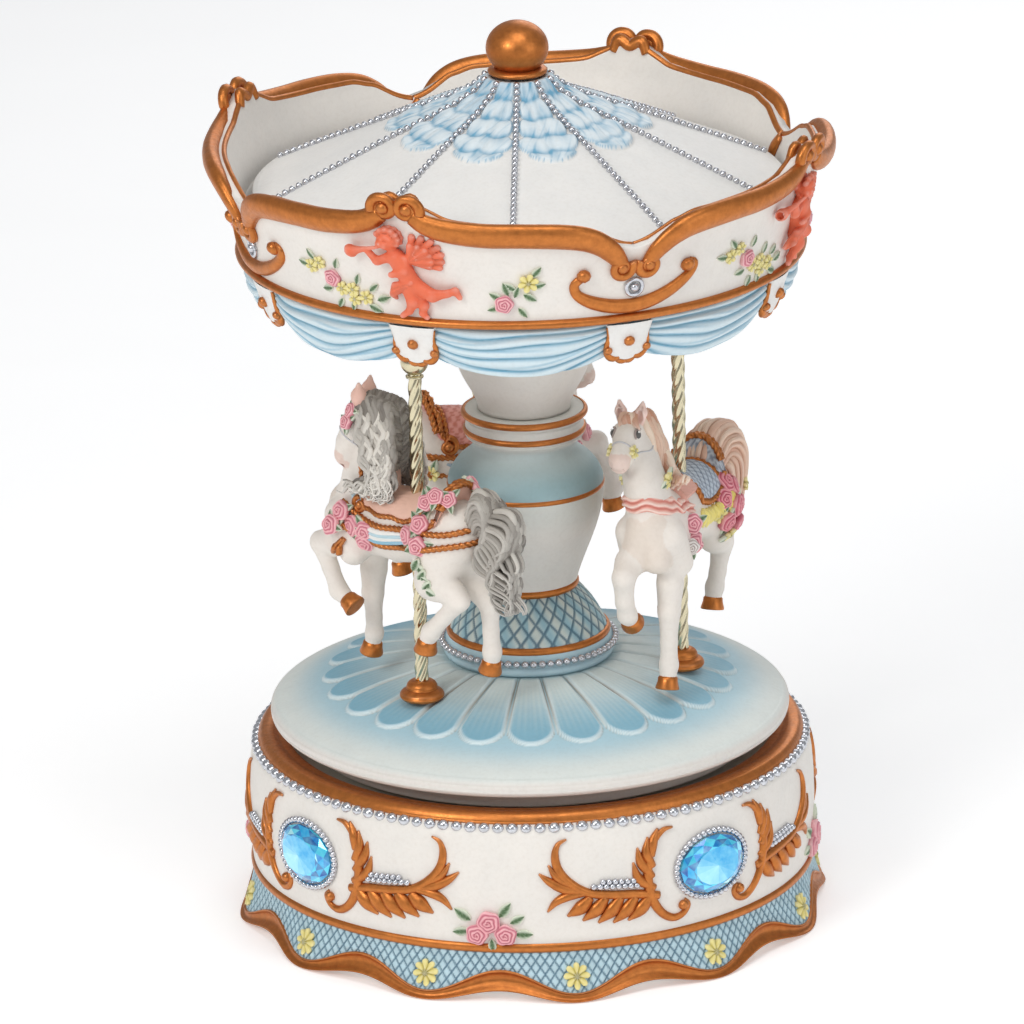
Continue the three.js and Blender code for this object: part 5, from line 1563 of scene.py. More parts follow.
def horse_body(spec, head):
    """The bare horse: torso, neck, head, ears and legs down to the pasterns."""
    form = Form((-34, -16, 72), (46, 16, 166), 0.6)
    white = HORSE_WHITE
    form.chain(spec["torso"], white, 2.5, (1, 1.22, 1))
    form.chain(spec["neck"], white, 3.0, (1, 1.34, 1))
    form.chain(spec["head"], white, 1.6, (1, 1.26, 1))
    for hand in (1, -1):
        form.limb(head.spot(3.2, 1.3 * hand, -2.6), head.spot(7.0, 1.0 * hand, -1.9), 3.0, 2.2, white, 1.2)
        form.limb(head.spot(2.6, 2.9 * hand, 3.0), head.spot(5.6, 2.7 * hand, 2.4), 1.15, 0.9, white, 1.0)
    muzzle = head.at[-1] + head.way
    blush = srgb(232, 208, 196)
    end = head.radii[-1]
    form.limb(muzzle, muzzle - head.brow * 0.8, end * 0.92, end * 0.8, blush, 1.4, (1, 1.05, 1))
    lip = muzzle - head.brow * 2.2
    form.limb(lip, lip - head.way * 3.0, 1.7, 1.5, blush, 0.7, (1, 1.1, 1))
    mouth = lip + head.brow * 1.0 + head.way * 2.0
    form.limb(mouth - head.side * 2, mouth + head.side * 2, 0.35, 0.35, srgb(160, 112, 104), 0.3, cut=True)
    for hand in (1, -1):
        nostril = muzzle + head.way * 1.8 + head.side * hand * 1.7 + head.brow * 0.9
        outer, inner = nostril + head.side * hand * 0.9, nostril + head.way * 0.4
        form.limb(outer, inner, 0.6, 0.5, srgb(150, 96, 90), 0.4, cut=True)
        low = head.spot(-0.6, 2.6 * hand, 3.4)
        rise = unit(np.array([-0.12, 0, 1.0]) + 0.16 * hand * head.side)
        large, outside = spec["ears"]
        middle, tip = low + rise * 2.5 * large, low + rise * 5.7 * large
        form.limb(low, middle, 1.5 * large, 1.8 * large, outside, 0.8)
        form.limb(middle, tip, 1.8 * large, 0.5, outside, 0.5)
        cup = unit(head.way * 1.0 + (0, 0, 0.4)) * 1.35
        inside, point = low + cup * large + rise * 0.8, tip + cup * 0.35 - rise * 1.2
        form.limb(inside, point, 1.15 * large, 0.35, EAR_PINK, 0.3, cut=True)
    for leg in LEGS:
        joints = spec[leg]
        form.chain(joints[:2], white, 3.2, (1, 1.25, 1))
        form.chain(joints[1:], white, 1.0)
        knee = np.array(joints[2][:3])
        form.limb(knee + (0.7, 0, 0.3), knee + (0.9, 0, -0.9), 2.4, 2.2, white, 0.8)
        fetlock = np.array(joints[-2][:3])
        form.limb(fetlock - (1.0, 0, 0.2), fetlock - (1.2, 0, 0.9), 1.6, 1.3, white, 0.7)
    breast, lift = srgb(228, 216, 204) * 1.03, spec["lift"]
    for hand in (1, -1):
        form.limb((24, hand * 5.2, 122 + lift), (19, hand * 6.0, 113 + lift), 5.0, 4.4, white, 1.2)
        form.limb((26.6, hand * 1.5, 125 + lift), (27.4, hand * 2.8, 116 + lift), 4.0, 4.2, breast, 1.4)
    return form


def horse_face(clay, move, form, head):
    """Eyes with a glint and a dark lid line, set where rays leave the head, and the bridle."""
    for hand in (1, -1):
        way = unit(head.side * hand * 0.82 + head.brow * 0.74)
        middle = form.skin([head.spot(4.8)], [way], -0.4)[0]
        part = Clay()
        ball(part, middle, 1.18, BLACK, rows=9, columns=14)
        glint = middle + way * 0.95 + head.brow * 0.42 - head.way * 0.2
        ball(part, glint, 0.3, WHITE, rows=5, columns=8)
        clay.take(part, move)
        lid = [form.skin([head.spot(4.8 + a)], [way + head.brow * b], 0.25)[0]
               for a, b in ((-1.7, 0.02), (-0.6, 0.34), (0.8, 0.3), (1.8, -0.05))]
        tube(clay, move, lid, 0.34, srgb(120, 92, 84))
        cheek = unit(head.side * hand)
        line = [form.skin([head.spot(a)], [cheek + head.brow * b], 0.15)[0]
                for a, b in ((1.0, -0.55), (4, -0.5), (7, -0.35), (9.5, -0.1))]
        tube(clay, move, line, 0.26, BRIDLE_GREY)
    noseband = [form.skin([head.spot(9.5)], [head.side * math.cos(t) + head.brow * math.sin(t)], 0.15)[0]
                for t in np.linspace(-0.6, 3.74, 9)]
    tube(clay, move, noseband, 0.26, BRIDLE_GREY)


def tube(clay, move, path, radius, paint, **how):
    """A round strand along a few points."""
    part = Clay()
    sweep(part, curve(np.array(path), 5 * len(path)), radius, paint, **how)
    clay.take(part, move)


def hoofs(clay, move, spec):
    """Copper hoofs: short cones, widest at the flat sole."""
    for leg in LEGS:
        pastern, end = (np.array(joint[:3]) for joint in spec[leg][-2:])
        way = unit(end - pastern)
        if way[2] < -0.7:
            way = unit((0.24, 0, -1))
        path = end + way * np.array([[-1.0], [0.1], [0.35], [1.4], [3.2], [3.55], [3.6]])
        part = Clay()
        sweep(part, path, np.array([2.0, 2.5, 2.75, 2.85, 3.35, 3.3, 2.6]), COPPER, sides=20)
        clay.take(part, move)


def rope(clay, move, path, radius, paint=COPPER):
    """A twisted rope along a path."""
    path = curve(path, max(12, int(np.linalg.norm(np.diff(path, axis=0), axis=1).sum() / 0.4)))
    reach = np.linalg.norm(np.diff(path, axis=0), axis=1).sum()
    part = Clay()
    sweep(part, path, radius, paint, sides=12, ridges=3, depth=0.2, twist=2 * np.pi * reach / 5.0)
    clay.take(part, move)


def on_flank(form, hand, points, lift, back=0.0):
    """Points (x, z) laid on the horse's side, z counted from back."""
    points = np.asarray(points, float)
    origin = np.stack([points[:, 0], 0 * points[:, 0], points[:, 1] + back], -1)
    return form.skin(origin, np.tile([0.0, hand, 0.0], (len(points), 1)), lift)


def cloth(clay, move, form, front, back, half, centre, paint, lift=0.9):
    """A cloth over the back from x = back to front, reaching half(x) degrees down each side."""
    rows, columns = 44, 56
    x = np.linspace(back, front, rows)[:, None]
    share = np.linspace(-1, 1, columns)[None, :]
    turn = np.radians(90 - half(x) * share)
    flat_x = x + 0 * turn
    origin = np.stack([flat_x, 0 * turn, centre + 0 * turn], -1)
    way = np.stack([0 * turn, np.cos(turn), np.sin(turn)], -1)
    place = form.skin(origin, way).reshape(rows, columns, 3)
    along_edge = np.minimum(x - back, front - x)
    edge = smooth_step(0, 1.0, along_edge) * smooth_step(0, 0.08, 1 - np.abs(share))
    outer = place + way * (lift * edge + 0.05 - 0.6 * (edge < 0.02))[..., None]
    inner = place - way * 1.2
    tone = paint(flat_x, turn + 0 * x)
    slab(clay, move, outer, inner, tone, tone)
    brim = place + way * 0.45
    edge_row = brim[:, 0], brim[-1], brim[::-1, -1], brim[0, ::-1]
    rim = np.concatenate([row[::4] for row in edge_row])
    return np.vstack([rim, rim[:1]])


def set_flower(clay, move, form, origin, way, kind, size, spin=0.0, lift=0.2, **colours):
    """A flower or leaf set on the figure where a ray from origin leaves it."""
    place = form.skin([origin], [way], lift)[0]
    up = (0, 0, 1) if abs(unit(way)[2]) < 0.9 else (1, 0, 0)
    at = inside_of(move, seated(place, way, up, spin))
    if kind == "leaf":
        leaf(clay, at, size, size * 0.48)
    else:
        {"rose": rose, "daisy": daisy}[kind](clay, at, size, **colours)


def rose_on_leaves(clay, at, radius, leaf_size, spins):
    """A rose over leaves that stand out round it."""
    for spin in spins:
        leaf(clay, shifted(at, 0, 0, spin, -0.4), *leaf_size)
    rose(clay, at, radius)


def spray(setting, hand, middle, spots, size, greens, seed, kind="rose", **colours):
    """Flowers over leaves where rays from a middle inside the body leave it towards spots on one side.

    A setting is (clay, move, form, back): middle and spots are (forward, out, up) from that back.
    """
    clay, move, form, back = setting
    draw = np.random.default_rng(seed)
    start = np.array(middle, float) + (0, 0, back)
    for number, (x, out, z) in enumerate(spots):
        way = np.array([x, out * hand + middle[1], back + z]) - start
        for _ in range(greens):
            set_flower(clay, move, form, start, way, "leaf", size * 1.75, spin=draw.random() * 360, lift=0.1)
        bloom = size * (0.92 + 0.16 * draw.random())
        set_flower(clay, move, form, start, way, kind, bloom, spin=40 * number, lift=0.5, **colours)


def net(across, up, base, line):
    """Colours of a netted cloth."""
    return mixed(base, line, lattice(across, up) * 0.9)


def cantle(clay, gear, move, back, tone, netted):
    """The saddle's raised back: a thin upright shell with a rope round its edge."""
    rows, columns = 16, 30
    v = np.linspace(0, 1, rows)[:, None]
    t = np.linspace(-1, 1, columns)[None, :]
    low = [-8.0 - 2.4 * (1 - t * t), 7.9 * t, back - 4.6 - 3.0 * np.abs(t) ** 3]
    top = [-13.6 - 2.0 * (1 - t * t), 8.4 * t, back + 6.9 - 6.2 * t * t - 3.0 * t**4]
    low, top = (np.stack([row + 0 * v for row in rows_of], -1) for rows_of in (low, top))
    face = low + (top - low) * v[..., None]
    face = face + np.array([-1.0, 0, 0]) * (np.sin(np.pi * v) * 1.0 + 0 * t)[..., None]
    behind = face + np.array([-1.5, 0, -0.2])
    flute = 0.3 * np.cos(t * 16) * v
    face = face + np.array([1.0, 0, 0]) * flute[..., None]
    colours = np.broadcast_to(tone, face.shape)
    if netted:
        colours = net(t * 4.5 + 0 * v, v * 4 + 0 * t, srgb(206, 214, 222), srgb(122, 132, 150))
    slab(clay, move, face, behind, colours, colours[:, ::-1])
    for side in (face, behind):
        rope(gear, move, side[-1, ::3], 0.85)
    for k in (0, -1):
        rope(gear, move, np.vstack([face[-1, k], face[8, k], face[0, k], face[0, k] + (4, 0, -1.0)]), 0.75)


def side_volute(clay, move, form, hand, x, z, size):
    """A copper scroll lying on the horse's side."""
    at = inside_of(move, seated(on_flank(form, hand, [(x, z)], 0.5)[0], (0, hand, 0)))
    volute(clay, at, (0, 0), size, 90, 1.3, hand, width=0.34)


def plain(colour):
    """A cloth of one colour."""
    return lambda x, turn: np.broadcast_to(colour, (*turn.shape, 3))


def tack_left(form, back, body, gear, flowers, move):
    """Peach saddle, blue and white sash between ropes, and rose sprays."""
    setting = flowers, move, form, back

    def half(x):
        return 47 + 9 * np.sin(np.pi * np.clip((x + 8) / 24, 0, 1)) + 5 * np.abs(np.sin(np.pi * (x - 3) / 9))

    rim = cloth(body, move, form, 15.5, -8, half, back - 10, plain(srgb(240, 196, 176)))
    rope(gear, move, rim, 0.7)
    for hand in (1, -1):
        high = [(22, -4.5), (14, -7.6), (7, -8.4), (1, -7.8), (-5, -7.0), (-11, -6.4), (-17, -5.8),
                (-21.5, -4.8), (-25, -3.6)]
        low = [(20, -10.5), (13, -13.0), (6, -13.8), (-1, -13.0), (-7, -11.6), (-13, -10.2), (-18, -9.2),
               (-22.5, -8.4), (-25.5, -7.6)]
        for edge in (high, low):
            rope(gear, move, on_flank(form, hand, edge, 0.5, back), 0.85)
        for k, tone in enumerate((WHITE, PALE_BLUE, WHITE * 0.96, MID_BLUE)):
            path = [(15 - 0.3 * k, back - 8.9 - 1.0 * k), (8, back - 9.8 - 1.0 * k),
                    (1, back - 9.2 - 0.9 * k), (-5, back - 8.2 - 0.8 * k)]
            lock(flowers, move, on_flank(form, hand, path, 0.1), 1.3, tone)
        for k, tone in enumerate((PALE_BLUE, WHITE, PALE_BLUE * 0.95)):
            path = [(17.5 - 1.1 * k, 2.2), (18.4 - 1.1 * k, -1.6), (17.2 - 1.1 * k, -6.0)]
            lock(flowers, move, on_flank(form, hand, path, 0.1, back), 1.1, tone)
        side_volute(gear, move, form, hand, 15.6, back - 4.4, 2.4)
        middle = (-8, 0, -9)
        spray(setting, hand, middle, [(-9.0, 8, -4.8), (-4.4, 9, -8.4), (-9.8, 9, -9.6)], 3.0, 4, 1)
        start = np.array(middle) + (0, 0, back)
        for k in range(6):
            way = np.array([-10.4 - 0.7 * k + 1.6 * (k % 2), 9 * hand, back - 12.0 - 1.3 * k]) - start
            set_flower(flowers, move, form, start, way, "leaf", 5.0, spin=150 + 60 * (k % 2), lift=1.0)
        for x, z in ((20.6, -6.6), (22.6, -10.6)):
            place = form.skin([(x, 0, back + z)], [(0, hand, 0)], 1.1)[0]
            at = seated(place, (0.1, 0.95 * hand, 0.3), spin=40 * x)
            rose_on_leaves(flowers, inside_of(move, at), 2.9, (4.4, 2.2), (80, 200))
        spray(setting, hand, (14, 0, -10), [(17, 9, -10.2), (12, 9, -11.0), (12.6, 9, -14.8)], 3.0, 2, 2)
        for drop in (0, 1):
            ends = [(19 - 0.5 * drop, -14.0), (21.4 - 1.6 * drop, -16.4), (23.4 - 3.2 * drop, -18.6)]
            girth = np.array([0.9] * 8 + [1.4] * 7)
            tube(gear, move, on_flank(form, hand, ends, 0.7, back), girth, COPPER, flat=0.7)
        for number, (x, out, z) in enumerate(((-10.6, 7.6, 2.0), (-13.8, 7.2, 4.4), (-16.8, 5.2, 3.6))):
            at = seated(np.array([x, out * hand, back + z]), (-0.35, 0.85 * hand, 0.45), spin=30 * number)
            rose_on_leaves(flowers, inside_of(move, at), 2.4, (4.2, 2.0), (20, 140, 260))
    cantle(body, gear, move, back, srgb(238, 188, 168), False)


def breast_ribbon(clay, move, form, back):
    """A gathered ribbon round the breast, its folds running along it in waves."""
    rows, columns = 17, 150
    share, turn = np.meshgrid(
        np.linspace(0, 1, rows), np.radians(np.linspace(-112, 112, columns)), indexing="ij"
    )
    share, turn = share.ravel(), turn.ravel()
    drop = 5.2 * np.abs(np.sin(turn / 2)) ** 1.5
    height = back + 1.2 - 4.6 * share - drop + 0.35 * np.sin(9 * turn)
    origin = np.stack([15 + 0 * turn, -1.0 + 0 * turn, height], -1)
    way = np.stack([np.cos(turn), np.sin(turn), 0.1 + 0 * turn], -1)
    fold = np.sin(15 * share + 2.6 * np.sin(3.1 * turn + 0.8) + 0.8 * np.sin(15 * turn))
    fullness = np.sin(np.pi * share) ** 0.4
    lift = -0.4 + (1.25 + 0.5 * fold) * fullness
    points = form.skin(origin, way, 0.0) + way * lift[:, None]
    # Painted highlight on the crests of the folds and painted shade in their valleys.
    paint = mixed(srgb(226, 138, 124), srgb(252, 218, 204), 0.5 + 0.5 * fold)
    end = np.arange(rows)[None, :] * columns
    faces = [grid_faces(rows, columns, over=True)[:, ::-1], end, end[:, ::-1] + columns - 1]
    clay.add(move(points), faces, paint)


def tack_right(form, back, body, gear, flowers, move):
    """Peach saddle with a netted back, a ruffled breast ribbon, big blooms and yellow ribbons."""
    setting = flowers, move, form, back

    def half(x):
        return 60 + 12 * np.sin(np.pi * np.clip((x + 12) / 17, 0, 1))

    def mesh(x, turn):
        return net(x / 2.4, turn * 3.6, srgb(204, 214, 224), srgb(112, 126, 148))

    rim = cloth(body, move, form, 5, -12, half, back - 10, mesh)
    rope(gear, move, rim, 0.9)
    cloth(body, move, form, 14, 4.4, lambda x: 42 + 0 * x, back - 10, plain(srgb(240, 184, 168)), 1.4)
    cantle(body, gear, move, back, srgb(238, 188, 168), True)
    breast_ribbon(flowers, move, form, back)
    for hand in (1, -1):
        spray(setting, hand, (4, 0, -12), [(13.5, 8, -9), (12.5, 8, -14), (9.6, 8, -17.5)], 2.9, 2, 5)
        spray(setting, hand, (4, 0, -12), [(16, 8, -13.5), (13, 8, -19)], 2.5, 2, 6, deep=srgb(214, 196, 190),
              pale=WHITE)
        for k in range(7):
            x, z = 7.0 - 3.2 * k, back - 7.0 - 1.9 * math.sin(0.5 * k)
            for fan in (-1, 0, 1):
                path = [(x, z), (x - 1.4 + fan, z - 2.4), (x - 2.0 + 2.2 * fan, z - 5.2)]
                lock(flowers, move, on_flank(form, hand, path, 0.5), 1.3, YELLOW * (0.9 + 0.1 * (fan % 2)))
        haunch = (-13, 0, -11)
        blooms = [(-13, 9, -5), (-17, 9, -8), (-14, 9, -12), (-19, 8, -13), (-16, 9, -17), (-22, 7, -9),
                  (-9, 9, -9), (-10, 9, -15)]
        spray(setting, hand, haunch, blooms, 3.0, 1, 7, deep=srgb(222, 92, 116), pale=srgb(246, 164, 172))
        stars = [(-21, 8, -16), (-12, 9, -19), (-7, 9, -13)]
        spray(setting, hand, haunch, stars, 2.4, 1, 8, "daisy", petals=6)
        spray(setting, hand, (20, -2.5, 6), [(20, 8, 5)], 2.5, 2, 9, "daisy", petals=6)


def tack_back(form, back, body, gear, flowers, move):
    """Pink netted blanket with copper straps and yellow flowers."""
    setting = flowers, move, form, back

    def half(x):
        return 66 + 8 * np.sin(np.pi * np.clip((x + 12) / 28, 0, 1)) + 3 * np.abs(np.sin(np.pi * x / 6))

    def mesh(x, turn):
        return net(x / 2.6, turn * 3.4, srgb(240, 172, 160), srgb(206, 116, 100))

    rim = cloth(body, move, form, 16, -12, half, back - 10, mesh)
    rope(gear, move, rim, 0.8)
    cantle(body, gear, move, back, srgb(238, 160, 150), False)
    for hand in (1, -1):
        for low in (10.2, 15.2):
            strap = [(24, back - low + 3), (14, back - low - 1.5), (4, back - low - 2.2), (-8, back - low),
                     (-18, back - low + 1.6), (-23, back - low + 3.6)]
            rope(gear, move, on_flank(form, hand, strap, 0.5), 0.95)
        trim_line = [(20, -8.8), (10, -13.6), (0, -14.2), (-10, -12.2), (-20, -9)]
        lock(flowers, move, on_flank(form, hand, trim_line, 0.2, back), 1.6, srgb(150, 170, 186))
        side_volute(gear, move, form, hand, -12, back - 6.5, 2.8)
        spray(setting, hand, (0, 0, -12), [(-6, 9, -15), (2, 9, -13)], 2.6, 4, 11)
        spray(setting, hand, (0, 0, -12), [(-14, 9, -13), (8, 9, -15)], 2.6, 3, 12, "daisy", petals=6)
        spray(setting, hand, (14, 0, -10), [(27, 6, -8), (24, 9, -11)], 2.5, 2, 13)


def mane(clay, move, spec, name):
    """Locks from the crest of the neck down its sides, and a forelock between the ears."""
    head = Head(spec["head"])
    tones = hair_tones(*spec["hair"], 11)
    draw = np.random.default_rng(5)
    neck = np.array(spec["neck"])
    lift = spec["lift"]
    bulk = {"left": 2.4, "right": 1.2, "back": 2.0}[name]
    poll = head.spot(-2.6, 0, 3.6)
    behind = neck[::-1, :3] - np.array([1.0, 0, -0.2]) * (neck[::-1, 3:] + bulk)
    start, end = behind[0] + (1.5, 0, 3.5), behind[3] + (2, 0, 8 - 0.4 * bulk)
    crest = curve(np.vstack([poll, start, behind[:3], end]), 60)
    count = {"left": 56, "right": 28, "back": 34}[name]
    sides = (1, -1) if name != "right" else (1,)
    for hand in sides:
        for layer in (0, 1):
            for k in range(count):
                share = (k + draw.random()) / count
                root = crest[int(share * 59)]
                level = min(range(len(neck)), key=lambda n: abs(neck[n, 2] - root[2] + 6))
                width = neck[level, 3] / 1.34
                reach = (12 + 9 * draw.random()) * (1.25 if name == "left" else 0.8)
                floor = 130.5 + lift + 3 * share * (name != "left")
                end_z = max(root[2] - reach - 4 * (1 - share), floor + 2.5 * draw.random())
                ahead, behind_head = {"left": (7.0, 7.0), "right": (3.6, 0.5), "back": (4.0, 2.0)}[name]
                forward = ahead * share - behind_head * (1 - share) + 2.4 * (draw.random() - 0.5)
                out = root[1] + hand * (width + 0.5 + 1.5 * layer + 0.6 * draw.random())
                points = [
                    root,
                    root + (0.6, hand * width * 0.75, 0.6 - 0.4 * layer),
                    (root[0] + 0.42 * forward, out, root[2] * 0.55 + end_z * 0.45),
                    (root[0] + 0.92 * forward, out + 0.7 * hand, end_z + 1.0),
                    (root[0] + forward + 1.6, out + 0.9 * hand, end_z),
                ]
                wave = {"left": 1.25, "right": 0.35, "back": 0.9}[name]
                pale, dark = spec["hair"]
                # Painted shade: the inner layer of locks is darker, so the gaps between the paler outer locks
                # look shaded.
                tone = mixed(next(tones), pale, 0.35) if layer else mixed(dark, next(tones), 0.35)
                girth = (1.6, 0.95 if name != "right" else 1.2)[layer]
                phase = 1.3 * k + 2.5 * layer
                lock(clay, move, np.array(points), girth, tone, wave=wave, phase=phase, length=7.5)
    long = {"left": 6.0, "right": 3.2, "back": 6.5}[name]
    for k in range(8):
        spread = (k - 3.5) * 0.55
        top = head.spot(-1.8, spread * 0.6, 4.6)
        arch = head.spot(1.2, spread, 5.6)
        end = head.spot(long + draw.random(), spread * 1.5 + (1.2 if name == "right" else 0), 4.3)
        lock(clay, move, np.array([top, arch, end]), 1.05, next(tones), wave=0.35, phase=k, length=5)


TAILS = {
    "left": [(-20, 0, 126), (-24.5, 0, 130.4), (-29.6, 0.6, 129.6), (-32.2, 1.2, 124), (-31.0, 1.2, 118),
             (-33.2, 0.8, 111.6), (-35.4, 0.6, 106), (-36.6, 0.6, 102)],
    "right": [(-18, 0, 120), (-20.5, 0.4, 127.5), (-24.5, 1.6, 130), (-28.6, 3.0, 126), (-30.6, 3.4, 117),
              (-31.4, 3.2, 108), (-31, 2.8, 101)],
    "back": [(-21, 0, 128), (-26, 0, 131), (-31, 0, 127), (-32.6, 0, 119), (-31.4, 0, 111), (-33.6, 0, 104)],
}


def tail(clay, move, spec, name):
    """Locks round a curved spine, fullest in the middle."""
    tones = hair_tones(*spec["hair"], 17)
    draw = np.random.default_rng(6)
    spine = curve(TAILS[name], 48)
    share = np.linspace(0, 1, 48)
    normal = unit_rows(np.cross(np.gradient(spine, axis=0), (0, 1, 0)))
    full = {"left": 4.8, "right": 6.8, "back": 4.6}[name]
    wave = {"left": 2.6, "right": 0.12, "back": 1.4}[name]
    count = {"left": 100, "right": 84, "back": 70}[name]
    for k in range(count):
        spot = 2 * np.pi * (k * 0.618 % 1)
        far = math.sqrt((k + 0.5) / count)
        swell = (1.2 + full * np.sin(np.pi * share**0.62) ** 0.75) * far
        reach = int(48 * (0.74 + 0.26 * draw.random()))
        path = spine + normal * (np.cos(spot) * swell)[:, None]
        path = path + np.array([0, 0.78, 0]) * (np.sin(spot) * swell)[:, None]
        # Painted shade: locks near the spine are darker than the outer ones.
        depth = 0.48 if name == "left" else 0.8
        tone = mixed(spec["hair"][1], next(tones), 0.2 + depth * smooth_step(0.2, 0.9, far))
        sway, phase = wave * (0.6 + 0.4 * far), 0.7 * math.cos(spot)
        lock(clay, move, path[:reach:4], 1.6 - 0.6 * far, tone, wave=sway, phase=phase, length=13)


def horse(name, angle):
    spec = HORSES[name]
    yaw = math.radians(angle + 180 + spec["yaw"])
    c, s = math.cos(yaw), math.sin(yaw)
    turn = np.array([[c, s, 0], [-s, c, 0], [0, 0, 1]])
    middle = polar(angle, POLE_CIRCLE, 0.0)

    def move(points):
        return np.asarray(points) @ turn + middle

    head = Head(spec["head"])
    form = horse_body(spec, head)
    back = HORSE_BACK + spec["lift"]
    body, saddle, gear, flowers, hair, brush = (Clay() for _ in range(6))
    form.surface(body, move)
    horse_face(body, move, form, head)
    {"left": tack_left, "right": tack_right, "back": tack_back}[name](form, back, saddle, gear, flowers, move)
    hoofs(gear, move, spec)
    mane(hair, move, spec, name)
    tail(brush, move, spec, name)
    if name == "left":
        for number, (along_head, side) in enumerate(((1.4, 2.2), (4.6, 3.4), (1.0, -2.2), (4.4, -3.4))):
            way = unit(head.brow + head.side * 0.42 * side)
            start = head.spot(along_head)
            for spin in (40, 160, 280):
                set_flower(flowers, move, form, start, way, "leaf", 3.6, spin=spin + 30 * number, lift=0.9)
            set_flower(flowers, move, form, start, way, "rose", 2.2, spin=20 * number, lift=1.3)
    else:
        for hand in (1, -1):
            way = head.side * hand + head.brow * 0.3
            set_flower(flowers, move, form, head.spot(9.6), way, "daisy", 2.0, lift=0.5, petals=6)
    if name == "right":
        for place, way in (((-27, 6.5, 127), (-0.3, 0.8, 0.7)), ((-31, 8.6, 117), (-0.3, 1, 0.1))):
            daisy(flowers, inside_of(move, seated(place, way)), 2.2, petals=6)
    make("horse_figure_" + name, body, PAINTED, "turntable", "cream_resin", ["horse_" + name])
    parts = {"saddle": saddle, "harness": gear, "mane": hair, "tail": brush, "flowers": flowers}
    for part, clay in parts.items():
        look = (GILT, "copper_paint") if clay is gear else (PAINTED, "cream_resin")
        make(f"horse_{part}_{name}", clay, look[0], "turntable", look[1])


for horse_name, horse_angle in POLES.items():
    horse(horse_name, horse_angle)


# Cherubs: four small winged children in relief, each with a horn, under the crown's peaks


def cherub_form():
    """One cherub, laid out flat: across, up, and out from the wall."""
    form = Form((-17, 193.5, -1.4), (18.5, 224.5, 7), 0.42)
    skin, deep = CORAL, CORAL * 0.86

    def part(*joints, blend=0.7, paint=skin, squeeze=(1, 1, 1)):
        form.chain(joints, paint, blend, squeeze)

    part((-1.2, 213.2, 1.7, 2.7), (0.6, 209.6, 2.2, 2.55), (2.0, 206.2, 1.9, 2.7))
    part((-2.2, 216.4, 2.0, 1.3), (-1.6, 214.6, 1.9, 1.6))
    part((-2.6, 218.9, 2.4, 2.75), (-3.0, 218.4, 2.8, 2.5))
    part((-4.6, 217.9, 4.2, 0.95), (-3.0, 217.6, 4.9, 0.8), blend=0.5)
    part((-4.0, 218.5, 5.2, 0.4), (-3.9, 218.2, 5.4, 0.45), blend=0.35)
    for x in (-4.9, -2.7):
        form.limb((x, 219.2, 5.0), (x + 0.35, 219.2, 5.0), 0.42, 0.4, deep * 0.8, 0.3, cut=True)
    form.limb((-4.3, 216.9, 5.2), (-3.5, 216.9, 5.3), 0.28, 0.28, deep * 0.7, 0.25, cut=True)
    for k in range(15):
        turn = math.radians(-30 + 210 * (k % 8) / 7)
        out = 1.0 + 2.4 * (k // 8)
        curl = (-2.5 + 2.9 * math.cos(turn), 219.4 + 2.6 * math.sin(turn), out)
        form.limb(curl, curl, 0.95, 0.95, deep, 0.35)
    part((-2.8, 213.6, 2.4, 1.5), (-6.4, 212.2, 3.4, 1.2), (-8.6, 215.2, 3.6, 1.0))
    part((-4.9, 217.0, 4.4, 0.5), (-9.4, 215.6, 3.9, 0.75), (-12.4, 214.7, 3.3, 1.2),
         (-14.0, 214.2, 3.0, 2.0), blend=0.3)
    form.limb((-14.8, 214.0, 3.0), (-17.0, 213.4, 2.8), 1.2, 1.6, deep * 0.8, 0.3, cut=True)
    part((1.4, 213.2, 2.6, 1.4), (1.2, 210.0, 4.0, 1.15), (-2.2, 208.8, 4.6, 0.95))
    for row, (count, reach, radius) in enumerate(((7, 10.2, 1.0), (6, 6.6, 1.05))):
        for k in range(count):
            turn = math.radians(82 - 96 * k / (count - 1))
            stretch = reach * (1 - 0.05 * abs(k - 2.2))
            tip = (2.4 + stretch * math.cos(turn), 212.6 + stretch * 0.82 * math.sin(turn), 0.9 + 0.9 * row)
            form.limb((2.2, 212.6, 1.2 + 0.9 * row), tip, 0.7, radius, mixed(skin, deep, k % 2), 0.22)
    part((3.2, 205.4, 2.0, 2.3), (8.2, 203.0, 3.0, 1.8), (12.2, 203.6, 2.2, 1.05), (14.4, 204.4, 1.8, 1.0),
         (15.6, 202.4, 1.8, 0.8))
    part((1.2, 205.0, 2.2, 2.3), (2.6, 200.8, 3.2, 1.75), (0.8, 197.6, 2.0, 1.0), (-1.2, 196.2, 2.4, 0.85))
    part((3.2, 203.4, 1.6, 1.9), (5.2, 199.6, 2.0, 1.4), (4.4, 197.0, 1.4, 0.95), (5.8, 196.0, 1.8, 0.8))
    for k in range(4):
        part((2.8 - 0.5 * k, 206.8 - 0.4 * k, 4.0, 0.9), (-2.0 - 0.3 * k, 205.4 - 0.9 * k, 3.6, 1.0),
             (-4.4 + 0.5 * k, 201.4 - 0.2 * k, 1.6, 0.5), blend=0.3, paint=mixed(skin, deep, k % 2))
    return form


def cherubs():
    form, piece = cherub_form(), Clay()
    for quarter in range(4):
        at = wrapped(VALLEY_ANGLE - 45 + PEAK_STEP * quarter, crown_radius, CHERUB_ARC)
        form.surface(piece, lambda points: at(points - (0, 0, 0.6)))
    make("crown_cherubs", piece, PAINTED, "turntable", "cream_resin")


cherubs()


# Stage, lights and camera

STAGE_COLOUR = srgb(250, 250, 250)
VIEW_TARGET = Vector((-3.99, 0, 115.1))
VIEW_DISTANCE = 2520
VIEW_ELEVATION = 18.59
VIEW_ROLL = -1.165
VIEW_LENS = 316.4
LIGHT_TARGET = Vector((0, 0, 0.13))


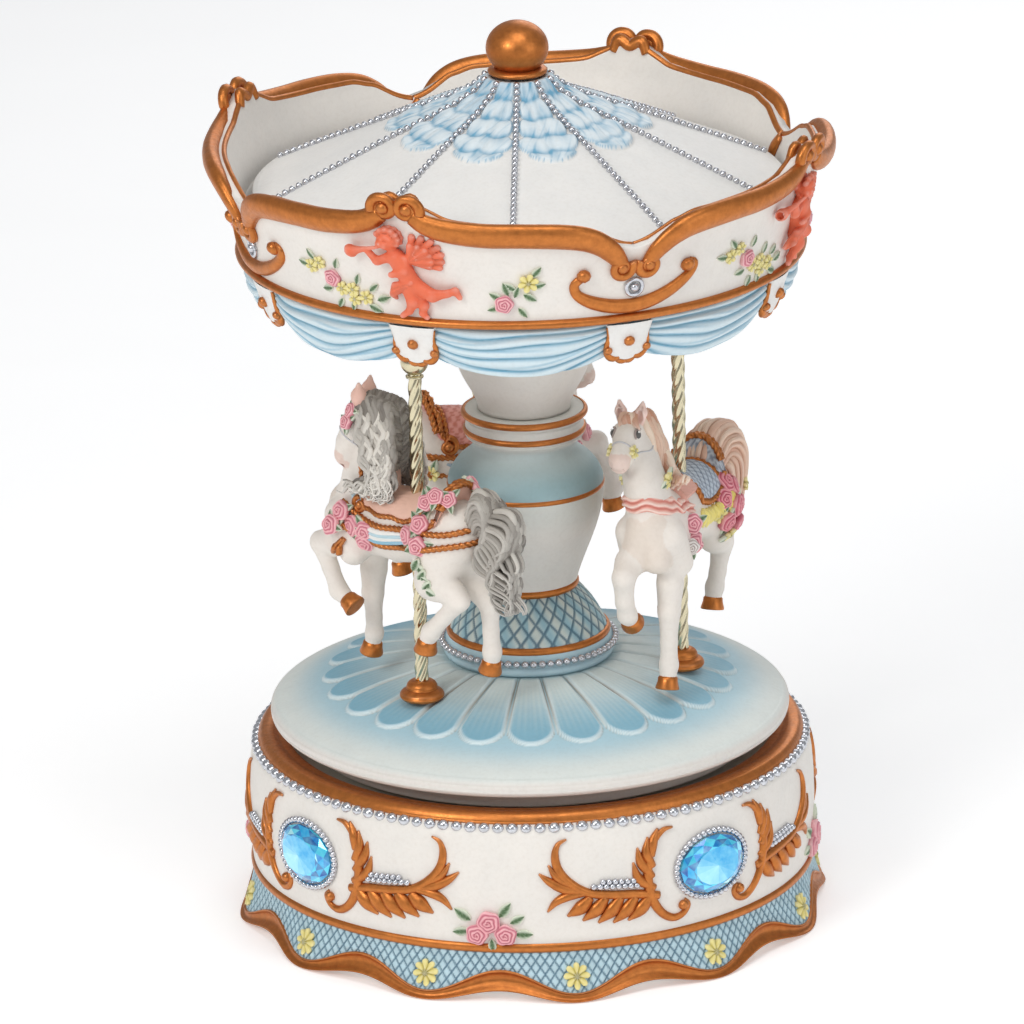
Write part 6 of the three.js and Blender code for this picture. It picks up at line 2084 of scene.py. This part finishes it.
def stage():
    bpy.ops.mesh.primitive_plane_add(size=12, location=(0, 0, -0.0002))
    floor = bpy.context.object
    floor.name = "floor"
    s = Shader("floor_paper")
    tone = s.blend(s.span(s.noise(60), 0.3, 0.7), STAGE_COLOUR, STAGE_COLOUR * 0.985)
    s.set(Base_Color=tone, Roughness=0.9)
    s.set(Emission_Color=STAGE_COLOUR, Emission_Strength=0.3)
    floor.data.materials.append(s.material)
    floor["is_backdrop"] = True


def area_light(name, place, size, power, colour=(1, 1, 1)):
    data = bpy.data.lights.new(name, "AREA")
    data.size = size
    data.energy = power
    data.color = colour
    light = bpy.data.objects.new(name, data)
    light.location = place
    aim = LIGHT_TARGET - Vector(place)
    light.rotation_euler = aim.to_track_quat("-Z", "Y").to_euler()
    bpy.context.scene.collection.objects.link(light)


def lights():
    world = bpy.data.worlds.new("studio")
    world.use_nodes = True
    backdrop = world.node_tree.nodes["Background"]
    backdrop.inputs["Color"].default_value = (0.95, 0.97, 1.0, 1)
    backdrop.inputs["Strength"].default_value = 0.34
    bpy.context.scene.world = world
    area_light("key", (-0.75, -0.95, 0.95), 0.55, 7.6, (1, 0.985, 0.96))
    area_light("fill", (0.95, -0.8, 0.55), 0.8, 2.7, (0.96, 0.98, 1))
    area_light("top", (0.1, -0.45, 1.3), 0.7, 4.6)
    area_light("back", (0.3, 1.0, 0.7), 0.7, 2.4)


def camera():
    data = bpy.data.cameras.new("camera")
    data.lens = VIEW_LENS
    data.sensor_width = 36
    data.clip_start, data.clip_end = 0.05, 50
    lens = bpy.data.objects.new("camera", data)
    rise = math.radians(VIEW_ELEVATION)
    back = Vector((0, -math.cos(rise), math.sin(rise)))
    lens.location = (VIEW_TARGET + back * VIEW_DISTANCE) * MM
    lens.rotation_mode = "QUATERNION"
    roll = Quaternion((0, 0, 1), math.radians(VIEW_ROLL))
    lens.rotation_quaternion = (-back).to_track_quat("-Z", "Y") @ roll
    bpy.context.scene.collection.objects.link(lens)
    bpy.context.scene.camera = lens


finish_nodes()
stage()
lights()
camera()
bpy.context.scene.view_settings.view_transform = "Standard"

boxes = {"cad": CAD_BOX, "visual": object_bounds()}
{name: [list(corner) for corner in pair] for name, pair in boxes.items()}
